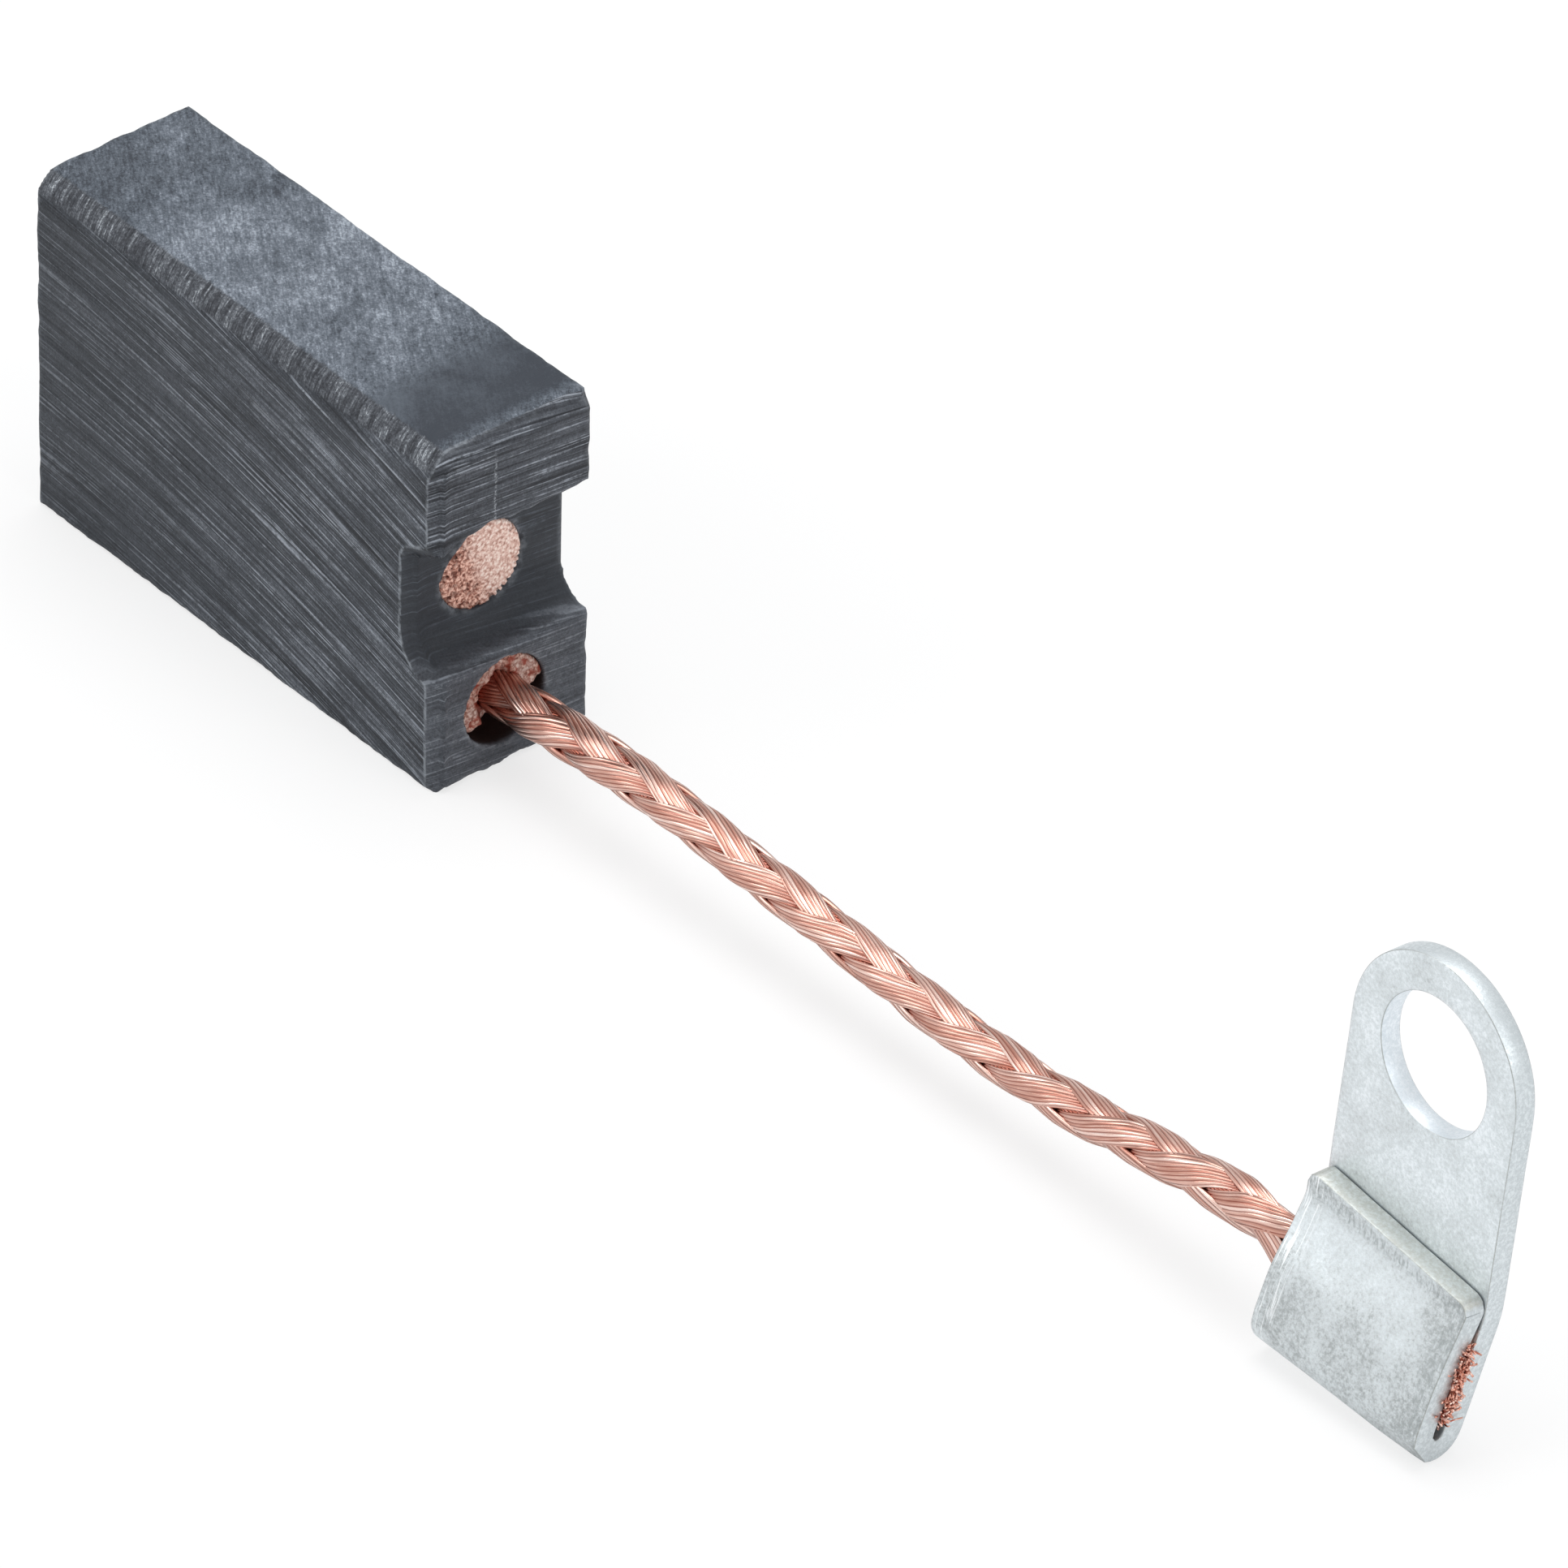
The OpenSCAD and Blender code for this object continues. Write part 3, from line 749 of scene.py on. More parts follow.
def crimp_line(u):
    """Inner face of the folded sheet at width u: depth and height, from the eye down,
    round the fold and up to the tab's free edge."""
    left = (FLAG_R - u) / (2 * FLAG_R)
    gap = 0.40 + 0.17 * left ** 1.2
    rise = 0.95 + 0.24 * (2 * left - 1)
    line = [np.array([0.0, v]) for v in np.linspace(-3.5, -6.75, 14)]
    line += [crimp_front(s) for s in np.linspace(0.0, CRIMP_LEN, 24)]
    middle = crimp_front(CRIMP_LEN) + CRIMP_FORWARD * gap / 2
    for t in np.linspace(0, math.pi, 15)[1:]:
        line.append(middle + gap / 2 * (CRIMP_DOWN * math.sin(t) - CRIMP_FORWARD * math.cos(t)))
    for s in np.linspace(CRIMP_LEN, 1.0, 20)[1:]:
        pinch = smooth_step(np.array(CRIMP_LEN - s), 1.2, 3.4)
        line.append(crimp_front(s) + CRIMP_FORWARD * (gap * (1 - pinch) + min(gap, 0.22) * pinch))
    knee = line[-1]
    meet = np.array([-0.03, -EYE_TO_BEND + 0.2])
    line += [knee * (1 - t) + meet * t for t in np.linspace(0, 1, 7)[1:]]
    line += [np.array([-0.03, v]) for v in np.linspace(-EYE_TO_BEND + 0.2, -EYE_TO_BEND + rise, 7)[1:]]
    line = np.array(line)
    for _ in range(3):
        line[1:-1] = 0.25 * line[:-2] + 0.5 * line[1:-1] + 0.25 * line[2:]
    gone = np.concatenate([[0], np.cumsum(np.linalg.norm(np.diff(line, axis=0), axis=1))])
    even = np.linspace(0, gone[-1], FOLD_ROWS)
    line = np.array([np.interp(even, gone, line[:, k]) for k in range(2)]).T
    ahead = np.gradient(line, axis=0)
    ahead /= np.linalg.norm(ahead, axis=1)[:, None]
    side = np.stack([-ahead[:, 1], ahead[:, 0]], 1)
    return line, side, gone[-1]


def flat_blank(fold_long):
    """The sheet before it is folded: a round end with its eye, and a long strip below."""
    columns = [0.0, *np.linspace(0.3, 3.0, 10), 3.14, 3.26, 3.38, 3.5]
    columns = [-c for c in columns[:0:-1]] + columns
    rim = [(u, -FLAG_R) for u in columns]
    rim += [(FLAG_R, v) for v in np.linspace(-FLAG_R, 0, 12)[1:]]
    rim += [(FLAG_R * math.cos(t), FLAG_R * math.sin(t)) for t in np.linspace(0, math.pi, 60)[1:]]
    rim += [(-FLAG_R, v) for v in np.linspace(0, -FLAG_R, 12)[1:-1]]
    rim = np.array(rim)
    n_rim = len(rim)
    rings = 5
    length = np.linalg.norm(rim, axis=1)[:, None]
    points, faces = [], []
    for k in range(rings + 1):
        points.extend(rim / length * (EYE_D / 2) * (1 - k / rings) + rim * (k / rings))
    for a in range(0, rings * n_rim, n_rim):
        b = a + n_rim
        for i in range(n_rim):
            j = (i + 1) % n_rim
            faces.append((a + i, a + j, b + j, b + i))
    # The long strip below the eye, with close rows where the sheet is folded
    fold_from = 3.0 + CRIMP_LEN
    fold_to = 4.0 + CRIMP_LEN
    tip_from = fold_long - 0.9
    marks = np.concatenate([
        np.linspace(0, fold_from, 34), np.linspace(fold_from, fold_to, 22)[1:],
        np.linspace(fold_to, tip_from, 22)[1:], np.linspace(tip_from, fold_long, 7)[1:]])
    row = [rings * n_rim + i for i in range(len(columns))]
    for mark in marks[1:]:
        new_row = [len(points) + i for i in range(len(columns))]
        share = float(np.clip((mark - tip_from) / 0.9, 0, 1))
        for u in columns:
            inside = max(abs(u) - (FLAG_R - TAB_CORNER_R), 0)
            back_off = TAB_CORNER_R - math.sqrt(max(TAB_CORNER_R ** 2 - inside ** 2, 0))
            points.append((u, -FLAG_R - (mark - back_off * share)))
        for i in range(len(columns) - 1):
            faces.append((row[i], row[i + 1], new_row[i + 1], new_row[i])[::-1])
        row = new_row
    return [(u, 0.0, v) for u, v in points], faces


def folded_up(flat, fold_long):
    """Lays the blank along the fold's line, which differs from one side to the other."""
    folded = flat.copy()
    table = [crimp_line(u) for u in np.linspace(-FLAG_R, FLAG_R, FOLD_COLUMNS)]
    for i, (u, n, v) in enumerate(flat):
        below = -FLAG_R - v
        if below <= 0:
            continue
        column = (u + FLAG_R) / (2 * FLAG_R) * (FOLD_COLUMNS - 1)
        low = int(np.clip(math.floor(column), 0, FOLD_COLUMNS - 2))
        part = column - low
        at = np.clip(below / fold_long, 0, 1) * (FOLD_ROWS - 1)
        k = int(min(at, FOLD_ROWS - 2))
        f = at - k
        spot = np.zeros(2)
        for (line, side, _), weight in ((table[low], 1 - part), (table[low + 1], part)):
            spot += weight * ((line[k] * (1 - f) + line[k + 1] * f)
                              + n * (side[k] * (1 - f) + side[k + 1] * f))
        folded[i] = (u, spot[0], spot[1])
    return folded


def terminal_sheet():
    """Cut flat as a flag with an eye, its edges softened, then folded over the shunt."""
    _, _, fold_long = crimp_line(0.0)
    piece = raw_piece("terminal_sheet", *flat_blank(fold_long))
    turn_faces(piece, lambda work: work.faces[0].normal.y > 0)
    apply_modifier(piece, "SOLIDIFY", thickness=SHEET_T, offset=-1.0)
    apply_modifier(piece, "BEVEL", width=0.065, segments=2, limit_method="ANGLE",
                   angle_limit=math.radians(40))

    flat = points_of(piece)
    # The sheared edges all round, those of the eye, the arris between them and the flat of the
    # sheet, and how far every point lies below the tab's free edge and across
    lying = np.abs(normals_of(piece)[:, 1])
    from_eye = np.hypot(flat[:, 0], flat[:, 2])
    keep_values(
        piece, sheared=1 - smooth_step(lying, 0.45, 0.9),
        in_eye=1 - smooth_step(from_eye, EYE_D / 2 + 0.06, EYE_D / 2 + 0.16),
        arris=smooth_step(lying, 0.3, 0.6) * (1 - smooth_step(lying, 0.8, 0.97)),
        below_tab_edge=np.clip(fold_long - (-FLAG_R - flat[:, 2]), 0, 12), wide=flat[:, 0])
    folded = folded_up(flat, fold_long)
    # Shallow dents
    folded[:, 1] += 0.012 * noise_at(folded, 1.6, 81.0) + 0.006 * noise_at(folded, 0.6, 82.0)
    set_points(piece, np.array([from_terminal(p) for p in folded]))
    to_metres(piece)
    face_outwards(piece)
    return piece


# ---- node helpers
class Pattern:
    """What a node puts out over the surface. Patterns are added, multiplied and so on like
    numbers, and every such step adds a node."""

    def __init__(self, tree, socket):
        self.tree = tree
        self.socket = socket

    def __add__(self, other):
        return maths(self.tree, "ADD", self, other)

    def __sub__(self, other):
        return maths(self.tree, "SUBTRACT", self, other)

    def __rsub__(self, other):
        return maths(self.tree, "SUBTRACT", other, self)

    def __mul__(self, other):
        return maths(self.tree, "MULTIPLY", self, other)

    def __abs__(self):
        return maths(self.tree, "ABSOLUTE", self, 0.0)

    def or_more(self, other):
        return maths(self.tree, "MAXIMUM", self, other)

    def ranged(self, low, high, to_low=0.0, to_high=1.0):
        """Goes smoothly from to_low to to_high while the pattern goes from low to high."""
        return pattern(self.tree, "ShaderNodeMapRange", {
            "Value": self, "From Min": low, "From Max": high, "To Min": to_low, "To Max": to_high},
            interpolation_type="SMOOTHSTEP")


def fill(tree, socket, value):
    """Joins a pattern or an output to an input socket, or sets the socket to a plain value."""
    if isinstance(value, Pattern):
        value = value.socket
    if isinstance(value, bpy.types.NodeSocket):
        tree.links.new(value, socket)
    else:
        socket.default_value = value


def put(tree, kind, sockets=None, **settings):
    """Adds a node, sets it up and fills its input sockets."""
    node = tree.nodes.new(kind)
    for key, value in settings.items():
        setattr(node, key, value)
    for key, value in (sockets or {}).items():
        fill(tree, node.inputs[key], value)
    return node


def pattern(tree, kind, sockets=None, out=0, **settings):
    """Adds a node and gives back one of its outputs."""
    return Pattern(tree, put(tree, kind, sockets, **settings).outputs[out])


def maths(tree, operation, a, b, clamp=False):
    return pattern(tree, "ShaderNodeMath", {0: a, 1: b}, operation=operation, use_clamp=clamp)


def axes(vector):
    """The three parts of a vector."""
    split = put(vector.tree, "ShaderNodeSeparateXYZ", {0: vector})
    return [Pattern(vector.tree, output) for output in split.outputs]


def vector_of(x, y, z):
    return pattern(x.tree, "ShaderNodeCombineXYZ", {0: x, 1: y, 2: z})


def stretched(vector, *times):
    return pattern(vector.tree, "ShaderNodeVectorMath", {0: vector, 1: times}, operation="MULTIPLY")


def in_millimetres(tree):
    """Object coordinates in millimetres."""
    return stretched(pattern(tree, "ShaderNodeTexCoord", None, "Object"), 1000.0, 1000.0, 1000.0)


def noise_value(vector, scale, detail=3.0, roughness=0.6):
    return pattern(vector.tree, "ShaderNodeTexNoise", {
        "Vector": vector, "Scale": scale, "Detail": detail, "Roughness": roughness})


def stored(tree, name):
    return pattern(tree, "ShaderNodeAttribute", None, "Fac", attribute_name=name)


def ramp(value, *stops, light=1.0):
    """Colours by value. A stop is a place and a screen colour of 0 to 255."""
    node = put(value.tree, "ShaderNodeValToRGB", {"Fac": value})
    while len(node.color_ramp.elements) < len(stops):
        node.color_ramp.elements.new(0.5)
    for element, (place, *colour) in zip(node.color_ramp.elements, stops):
        element.position = place
        element.color = linear(*(c * light for c in colour))
    return Pattern(value.tree, node.outputs[0])


def blend(share, a, b, how="MIX"):
    """From colour a towards colour b by the share."""
    tree = [v for v in (share, a, b) if isinstance(v, Pattern)][0].tree
    return pattern(tree, "ShaderNodeMix", {0: share, 6: a, 7: b}, 2, data_type="RGBA", blend_type=how)


def stroke_group():
    """Long marks of a saw or a grinding stone. The strokes run along the first axis."""
    group = bpy.data.node_groups.new("stroke_marks", "ShaderNodeTree")
    group.interface.new_socket("Vector", in_out="INPUT", socket_type="NodeSocketVector")
    for label, value in (("Along", 0.2), ("Across", 10.0)):
        socket = group.interface.new_socket(label, in_out="INPUT", socket_type="NodeSocketFloat")
        socket.default_value = value
    group.interface.new_socket("Marks", in_out="OUTPUT", socket_type="NodeSocketFloat")
    given = group.nodes.new("NodeGroupInput")
    result = group.nodes.new("NodeGroupOutput")
    place, along, across = (Pattern(group, given.outputs[label]) for label in ("Vector", "Along", "Across"))
    x, y, _ = axes(place)

    def layer(longer, finer, height, detail):
        return noise_value(vector_of(x * along * longer, y * across * finer, height), 1.0, detail, 0.62)
    broad = layer(0.6, 0.14, 3.0, 1.0)
    middle = layer(1.0, 0.55, 11.0, 2.0)
    fine = layer(2.2, 1.5, 23.0, 2.0)
    total = broad * 0.26 + middle * 0.37 + fine * 0.37
    fill(group, result.inputs["Marks"], maths(group, "MULTIPLY", total - 0.32, 2.8, True))
    return group


def new_material(name):
    material = bpy.data.materials.new(name)
    material.use_nodes = True
    material.node_tree.nodes.clear()
    return material, material.node_tree


def finished(material, sockets, relief=None):
    """Gives the material its shader. The relief is a height, its strength and its depth."""
    tree = material.node_tree
    shader = put(tree, "ShaderNodeBsdfPrincipled", sockets)
    put(tree, "ShaderNodeOutputMaterial", {0: shader.outputs[0]})
    if relief:
        height, strength, distance = relief
        fill(tree, shader.inputs["Normal"], pattern(tree, "ShaderNodeBump", {
            "Strength": strength, "Distance": distance, "Height": height}))
    return material


# ---- materials
def carbon_material(strokes):
    material, tree = new_material("sawn_carbon")
    place = in_millimetres(tree)
    x, y, z = axes(place)
    reach = stored(tree, "reach")
    ragged = (noise_value(place, 5.0, 3.0) - 0.5) * 0.12

    def strokes_on(first, second, along, across, third=0.0):
        place = vector_of(first, second, third)
        return pattern(tree, "ShaderNodeGroup", {"Vector": place, "Along": along, "Across": across},
                       "Marks", node_tree=strokes)
    # The saw went down the side in a wide arc
    side_level = z + (x * 0.0065 + 0.192) * x
    side_marks = strokes_on(x, side_level, 0.09, 13.0)
    # and across the end nearly level, falling where that end is rounded off
    end_level = z + y * 0.1 + stored(tree, "behind") * 0.8
    end_marks = strokes_on(y, end_level, 0.18, 12.0)
    round_marks = strokes_on(y + z, x + y * 0.18, 0.5, 11.0, 7.0)
    # The top was rubbed slantwise, in short strokes
    top_marks = strokes_on(x * 0.84 - y * 0.54, x * 0.54 + y * 0.84, 1.3, 9.0)
    fine = noise_value(place, 13.0, 3.0, 0.8) - 0.5
    coarse = noise_value(place, 4.5, 3.0, 0.7) - 0.5
    speck = fine * 0.7 + coarse * 0.3

    def toned(marks, share, clear, middle):
        return (marks - 0.5) * share * clear + middle

    def lone_strokes(colour, first, second, along, across, third, clear):
        """A few long dark strokes and broken light ones among the others."""
        at = vector_of(first * (along * 0.4), second * (across * 0.5), third)
        deep = noise_value(at, 1.0, 2.0).ranged(0.43, 0.35)
        colour = blend(deep * (clear * 0.75), colour, linear(30, 32, 37))
        at = vector_of(first * along, second * across, third + 9.0)
        light = noise_value(at, 1.0, 2.0).ranged(0.55, 0.66) * coarse.ranged(-0.14, 0.06, 0.3, 1.0)
        return blend(light * (clear * 0.9), colour, linear(152, 158, 167))
    # The marks are faint at the working end and clear at the shunt end, and clearer on the lip
    # than below the groove
    clear_side = x.ranged(-9.0, 4.0, 0.4, 1.0)
    clear_end = z.ranged(4.0, 9.4, 0.5, 1.0)
    # Lighter drifts of dust lie along the strokes, most of them towards the shunt end
    dusty = noise_value(vector_of(x * 0.35, 4.0, side_level * 1.3), 1.0, 3.0, 0.6).ranged(0.42, 0.68)
    dusty = dusty * x.ranged(-9.0, 5.0, 0.25, 1.0)
    side_tone = toned(side_marks, 0.8, clear_side, 0.45) + dusty * 0.2 - x.ranged(5.0, -8.0, 0.03, 0.08)
    side = ramp(side_tone + speck * 1.3, (0.12, 24, 26, 31), (0.36, 48, 52, 58), (0.55, 67, 71, 78),
                (0.76, 104, 109, 117), (0.96, 160, 166, 175))
    side = lone_strokes(side, x, side_level, 0.16, 10.0, 2.0, clear_side)
    end_tone = toned(end_marks, 0.9, clear_end, z.ranged(4.0, 9.4, 0.53, 0.46))
    end = ramp(end_tone + speck * 1.3, (0.1, 30, 32, 37), (0.4, 61, 64, 70), (0.7, 86, 90, 97),
               (1.0, 144, 149, 156))
    end = lone_strokes(end, y, end_level, 0.3, 10.0, 4.0, clear_end)
    # The top is cloudy, lightest in the middle, with a smooth dark spot near the shunt end
    smooth_spot = x.ranged(5.0, 6.6) * x.ranged(9.3, 8.6)
    lively = 1.0 - smooth_spot * 0.75
    cloud = noise_value(place, 0.34, 3.0, 0.55) * 0.46 + 0.27 + abs(x - 0.5) * -0.018 + 0.03
    cloud = cloud - smooth_spot * 0.16 + speck * 1.25 * lively + (top_marks - 0.5) * 0.42 * lively
    top = ramp(cloud, (0.2, 52, 57, 65), (0.40, 86, 93, 102), (0.55, 112, 119, 129), (0.78, 168, 176, 186))
    band = ramp(round_marks + speck * 1.9, (0.1, 34, 36, 41), (0.45, 64, 67, 73), (0.72, 100, 104, 110),
                (1.0, 176, 182, 188))

    def past(value, edge, soft=0.02):
        return (value + ragged).ranged(edge - soft, edge + soft)
    behind_band = past(y, -2.38, 0.08)
    on_round = past(z, 11.80, 0.08) * (1.0 - behind_band)
    on_top = past(z, BLOCK_HIGH - 0.10) * behind_band
    on_end = (1.0 - past(reach, 0.0)).or_more(1.0 - past(x, -END_X + 0.06))
    colour = blend(on_round, side, band)
    colour = blend(on_top, colour, top)
    colour = blend(on_end, colour, end)
    # The groove is painted darker than the end it is cut into, as shade in the recess
    in_groove = z.ranged(4.25, 4.6) * z.ranged(9.25, 9.0) * x.ranged(END_X - 0.1, END_X - 0.45)
    in_groove = in_groove * on_end * x.ranged(0.0, 4.0)
    dim = blend(1.0, colour, linear(166, 170, 176), "MULTIPLY")
    colour = blend(in_groove, colour, blend(0.45, dim, linear(59, 62, 67)))
    # Edges are rubbed bright in patches
    patchy = noise_value(place, 3.2, 3.0).ranged(0.35, 0.65)
    line_of_edge = abs(reach + ragged).ranged(0.09, 0.02) * y.ranged(0.0, -1.5)
    rub = (stored(tree, "wear") * patchy).or_more(line_of_edge * patchy)
    colour = blend(maths(tree, "MULTIPLY", rub, 0.6, True), colour, linear(148, 154, 161))
    # A single light scratch down the lip
    waver = (noise_value(place, 1.6) - 0.5) * 0.2
    line = abs(y + 0.75 + waver).ranged(0.075, 0.01) * z.ranged(8.9, 9.3) * z.ranged(12.2, 11.2)
    line = line * (on_end * x.ranged(9.5, 9.7)) * fine.ranged(-0.06, 0.14)
    colour = blend(line, colour, linear(154, 159, 165))
    # Painted shade on the wall of the shunt's bore
    colour = blend(stored(tree, "bored"), colour, linear(40, 30, 28))
    height = blend(on_end, side_marks, end_marks) + speck * 1.2
    return finished(material, {
        "Base Color": colour, "Metallic": 0.0, "Specular IOR Level": 0.25,
        "Roughness": side_marks.ranged(0.0, 1.0, 0.66, 0.5)}, (height, 0.45, 0.00003))


def copper_material():
    material, tree = new_material("braided_copper")
    place = pattern(tree, "ShaderNodeUVMap", uv_map="along_wires")
    streak = noise_value(stretched(place, 22.0, 9.0, 1.0), 1.0, 3.0, 0.6)
    base = ramp(streak * 0.7 + stored(tree, "tone") * 0.3, (0.25, 182, 127, 111), (0.42, 212, 165, 150),
                (0.58, 232, 196, 183), (0.75, 251, 230, 221))
    # Painted shade: strands are darkened where they dip under the others, and the valleys between their wires
    # are darkened too
    shade = (1.0 - stored(tree, "rise")).ranged(0.3, 1.0) * 0.8
    base = blend(shade, base, linear(142, 66, 48))
    base = blend(stored(tree, "valley") * 0.9, base, linear(128, 58, 44))
    return finished(material, {
        "Base Color": base, "Metallic": 1.0, "Roughness": streak.ranged(0.3, 0.7, 0.36, 0.24)})


def wisp_material():
    material, tree = new_material("cut_copper")
    base = ramp(noise_value(in_millimetres(tree), 5.0, 2.0), (0.3, 206, 132, 108), (0.5, 238, 180, 160),
                (0.66, 254, 230, 218))
    # Painted shade towards the roots of the wires, deep in the crimp's gap; their tips are left light
    shade = stored(tree, "towards_tip").ranged(1.0, 0.5, 0.0, 0.92)
    base = blend(shade, base, linear(150, 54, 32))
    return finished(material, {"Base Color": base, "Metallic": 0.75, "Roughness": 0.3})


def powder_material(name, light, pit_shade):
    material, tree = new_material(name)
    place = in_millimetres(tree)
    cells = pattern(tree, "ShaderNodeTexVoronoi", {"Vector": place, "Scale": 9.0}, "Distance", feature="F1")
    grain = cells * -0.35 + noise_value(place, 8.0, 4.0, 0.7) * 1.1
    bright = ramp(grain, (0.16, 176, 128, 112), (0.34, 226, 186, 172), (0.52, 255, 236, 226), light=light)
    dark = ramp(grain, (0.14, 78, 36, 24), (0.3, 168, 108, 90), (0.48, 246, 200, 182), light=light)
    colour = blend(stored(tree, "dull"), bright, dark)
    # Painted shade in the hollows and pits
    colour = blend(stored(tree, "deep"), colour, linear(*pit_shade))
    return finished(material, {"Base Color": colour, "Metallic": 0.35, "Roughness": 0.5},
                    (grain, 0.8, 0.00005))


def tin_material():
    material, tree = new_material("tinned_sheet")
    place = in_millimetres(tree)
    grain = noise_value(place, 8.0, 4.0, 0.75)
    cloud = noise_value(place, 0.55, 3.0, 0.55)
    crystals = pattern(tree, "ShaderNodeTexVoronoi", {"Vector": place, "Scale": 3.4}, "Color", feature="F1")
    spangle = axes(crystals)[0]
    from_edge = stored(tree, "below_tab_edge")
    wide = stored(tree, "wide")
    in_eye = stored(tree, "in_eye")
    # The tab is brighter in a band below its edge, and duller under it and towards its right
    on_tab = from_edge.ranged(5.4, 5.0)
    bright = on_tab * (from_edge.ranged(0.5, 1.3) * from_edge.ranged(3.2, 1.9))
    dull = on_tab * (from_edge.ranged(2.0, 3.6) * wide.ranged(2.6, 0.5))
    right_rim = on_tab * wide.ranged(1.6, 3.2)
    total = grain * 0.62 + cloud * 0.38 + (spangle - 0.5) * 0.04 + bright * 0.035 - dull * 0.05
    total = total - right_rim * 0.12 + on_tab.ranged(0.0, 1.0, 0.05, -0.05)
    colour = ramp(total, (0.30, 168, 173, 174), (0.43, 203, 209, 211), (0.56, 217, 224, 227),
                  (0.7, 238, 244, 248))
    # Rubbed ticks along the tab's edges, and fine scratches at its left
    ticks = noise_value(vector_of(wide * 9.0, from_edge * 2.0, 0.0), 1.0, 3.0, 0.6).ranged(0.46, 0.62)
    at_top = from_edge.ranged(0.95, 0.5) * from_edge.ranged(0.1, 0.25)
    at_right = wide.ranged(2.7, 3.1) * on_tab
    ticks = ticks * at_top.or_more(at_right * 0.8)
    colour = blend(ticks * 0.55, colour, linear(140, 147, 148))
    scratches = noise_value(vector_of(wide * 12.0, from_edge * 0.6, 5.0), 1.0, 2.0).ranged(0.54, 0.62)
    scratches = scratches * (on_tab * wide.ranged(-2.5, -3.0))
    colour = blend(scratches * 0.8, colour, linear(248, 251, 253))
    # The sheared edge is painted in a tone of its own: yellowish along the top of the tab, bluer and brighter
    # in the eye as a painted highlight, with painted glints along the grain; its arris is painted as a dark
    # line of shade
    edge_tone_and_highlight = blend(in_eye, linear(200, 207, 210), linear(222, 230, 236))
    edge_tone_and_highlight = blend(from_edge.ranged(0.3, 0.1), edge_tone_and_highlight, linear(188, 189, 182))
    painted_shine = blend(in_eye, linear(220, 227, 230), linear(238, 244, 249))
    edge_tone_and_highlight = blend(grain.ranged(0.4, 0.66) * from_edge.ranged(0.1, 0.3, 0.35, 1.0), edge_tone_and_highlight, painted_shine)
    colour = blend(stored(tree, "sheared") * 0.85, colour, edge_tone_and_highlight)
    # Painted dark line of shade along the arris
    colour = blend(stored(tree, "arris") * cloud.ranged(0.3, 0.6, 0.45, 0.85), colour, linear(146, 148, 142))
    return finished(material, {
        "Base Color": colour, "Metallic": 0.85, "Roughness": grain.ranged(0.35, 0.65, 0.52, 0.36)},
        (total, 0.35, 0.00004))


def hidden_material(name, low, high, metal, rough, size):
    material, tree = new_material(name)
    value = noise_value(in_millimetres(tree), size, 3.0)
    return finished(material, {
        "Base Color": ramp(value, (0.35, *low), (0.65, *high)), "Metallic": metal, "Roughness": rough},
        (value, 0.2, 0.00002))


def dress(piece, material):
    piece.data.materials.clear()
    piece.data.materials.append(material)


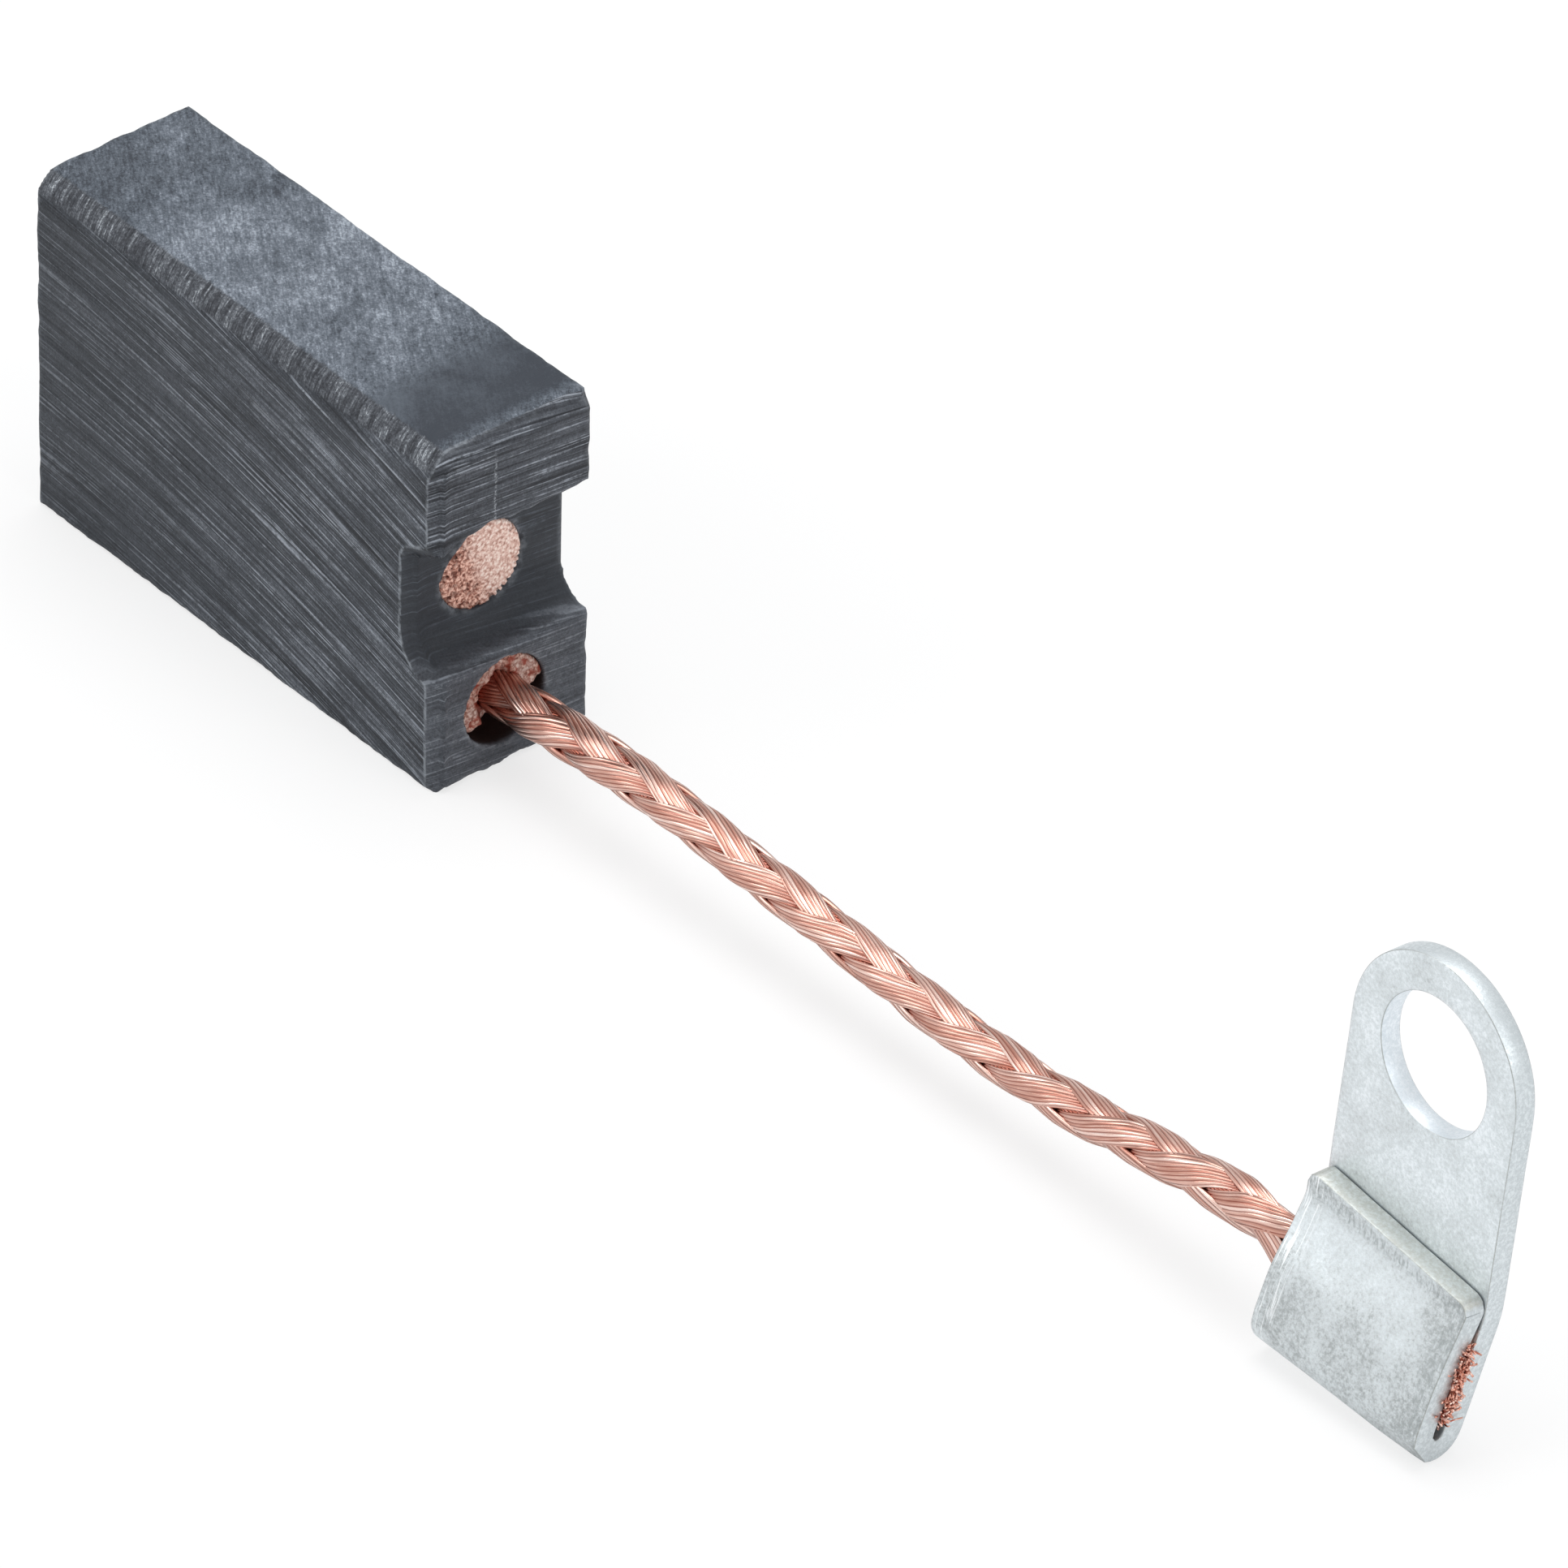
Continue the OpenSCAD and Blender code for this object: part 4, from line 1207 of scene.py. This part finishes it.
# ---- studio
def studio():
    white = (1, 1, 1, 1)

    def rays(tree, kind):
        return pattern(tree, "ShaderNodeLightPath", None, kind)
    bpy.ops.object.select_all(action="DESELECT")
    bpy.ops.mesh.primitive_plane_add(size=6.0, location=(0.02, 0, 0))
    floor = bpy.context.object
    floor.name = "studio_floor"
    material, tree = new_material("pale_floor")
    paint = put(tree, "ShaderNodeBsdfPrincipled", {"Base Color": (0.9, 0.9, 0.9, 1), "Roughness": 0.9})
    glow = put(tree, "ShaderNodeEmission", {"Color": white, "Strength": 1.0})
    share = rays(tree, "Is Camera Ray") * 0.72 + rays(tree, "Is Glossy Ray") * 0.5
    both = put(tree, "ShaderNodeMixShader", {0: share, 1: paint.outputs[0], 2: glow.outputs[0]})
    put(tree, "ShaderNodeOutputMaterial", {0: both.outputs[0]})
    dress(floor, material)

    world = bpy.data.worlds.new("studio_world")
    world.use_nodes = True
    bpy.context.scene.world = world
    tree = world.node_tree
    tree.nodes.clear()
    dim = put(tree, "ShaderNodeBackground", {"Color": (0.97, 0.985, 1.0, 1), "Strength": 0.5})
    seen = put(tree, "ShaderNodeBackground", {"Color": white, "Strength": 1.0})
    share = rays(tree, "Is Camera Ray").or_more(rays(tree, "Is Glossy Ray") * 0.55)
    share = share.or_more(rays(tree, "Is Transmission Ray"))
    both = put(tree, "ShaderNodeMixShader", {0: share, 1: dim.outputs[0], 2: seen.outputs[0]})
    put(tree, "ShaderNodeOutputWorld", {0: both.outputs[0]})

    def soft_box(name, place, target, size, power):
        data = bpy.data.lights.new(name, "AREA")
        data.shape = "SQUARE"
        data.size = size
        data.energy = power
        lamp = bpy.data.objects.new(name, data)
        bpy.context.collection.objects.link(lamp)
        lamp.location = place
        aim = Vector(target) - Vector(place)
        lamp.rotation_euler = aim.to_track_quat("-Z", "Y").to_euler()
    centre = (0.02, 0.0, 0.006)
    soft_box("top_box", (-0.05, 0.05, 0.5), centre, 0.35, 1.5)
    soft_box("left_box", (-0.25, -0.4, 0.3), centre, 0.3, 0.8)
    soft_box("right_box", (0.5, 0.05, 0.3), centre, 0.3, 0.7)


# ---- the scene
bpy.context.scene.view_settings.view_transform = "Standard"
studio_camera()

shunt, shunt_route, shunt_length = braid_shunt()
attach(shunt, "root")
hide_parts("shunt")
sheet = terminal_sheet()
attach(sheet, "root")
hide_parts("terminal")

wisps = trimmed_wires()
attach(wisps, "root")

body = carbon_block()
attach(body, "root")
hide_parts("carbon_block")

plug = stop_plug_grain()
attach(plug, "root")
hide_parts("stop_plug")

tamping = wire_tamping_grain()
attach(tamping, "root")
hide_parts("wire_tamping")

strokes = stroke_group()
dress(body, carbon_material(strokes))
dress(shunt, copper_material())
dress(wisps, wisp_material())
# The pit colours are painted shade: dark in the plug's pits, and in the tamping's hollow a dark red of
# painted shade tinted with a painted reflection of the shunt
dress(plug, powder_material("plug_powder", 1.0, (72, 26, 16)))
dress(tamping, powder_material("tamped_powder", 0.82, (138, 50, 29)))
dress(sheet, tin_material())
dress(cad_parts["stop_spring"], hidden_material(
    "spring_wire", (120, 122, 126), (170, 172, 176), 1.0, 0.35, 3.0))
dress(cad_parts["stop_pin"], hidden_material(
    "pin_plastic", (214, 206, 184), (232, 226, 208), 0.0, 0.5, 1.2))

studio()
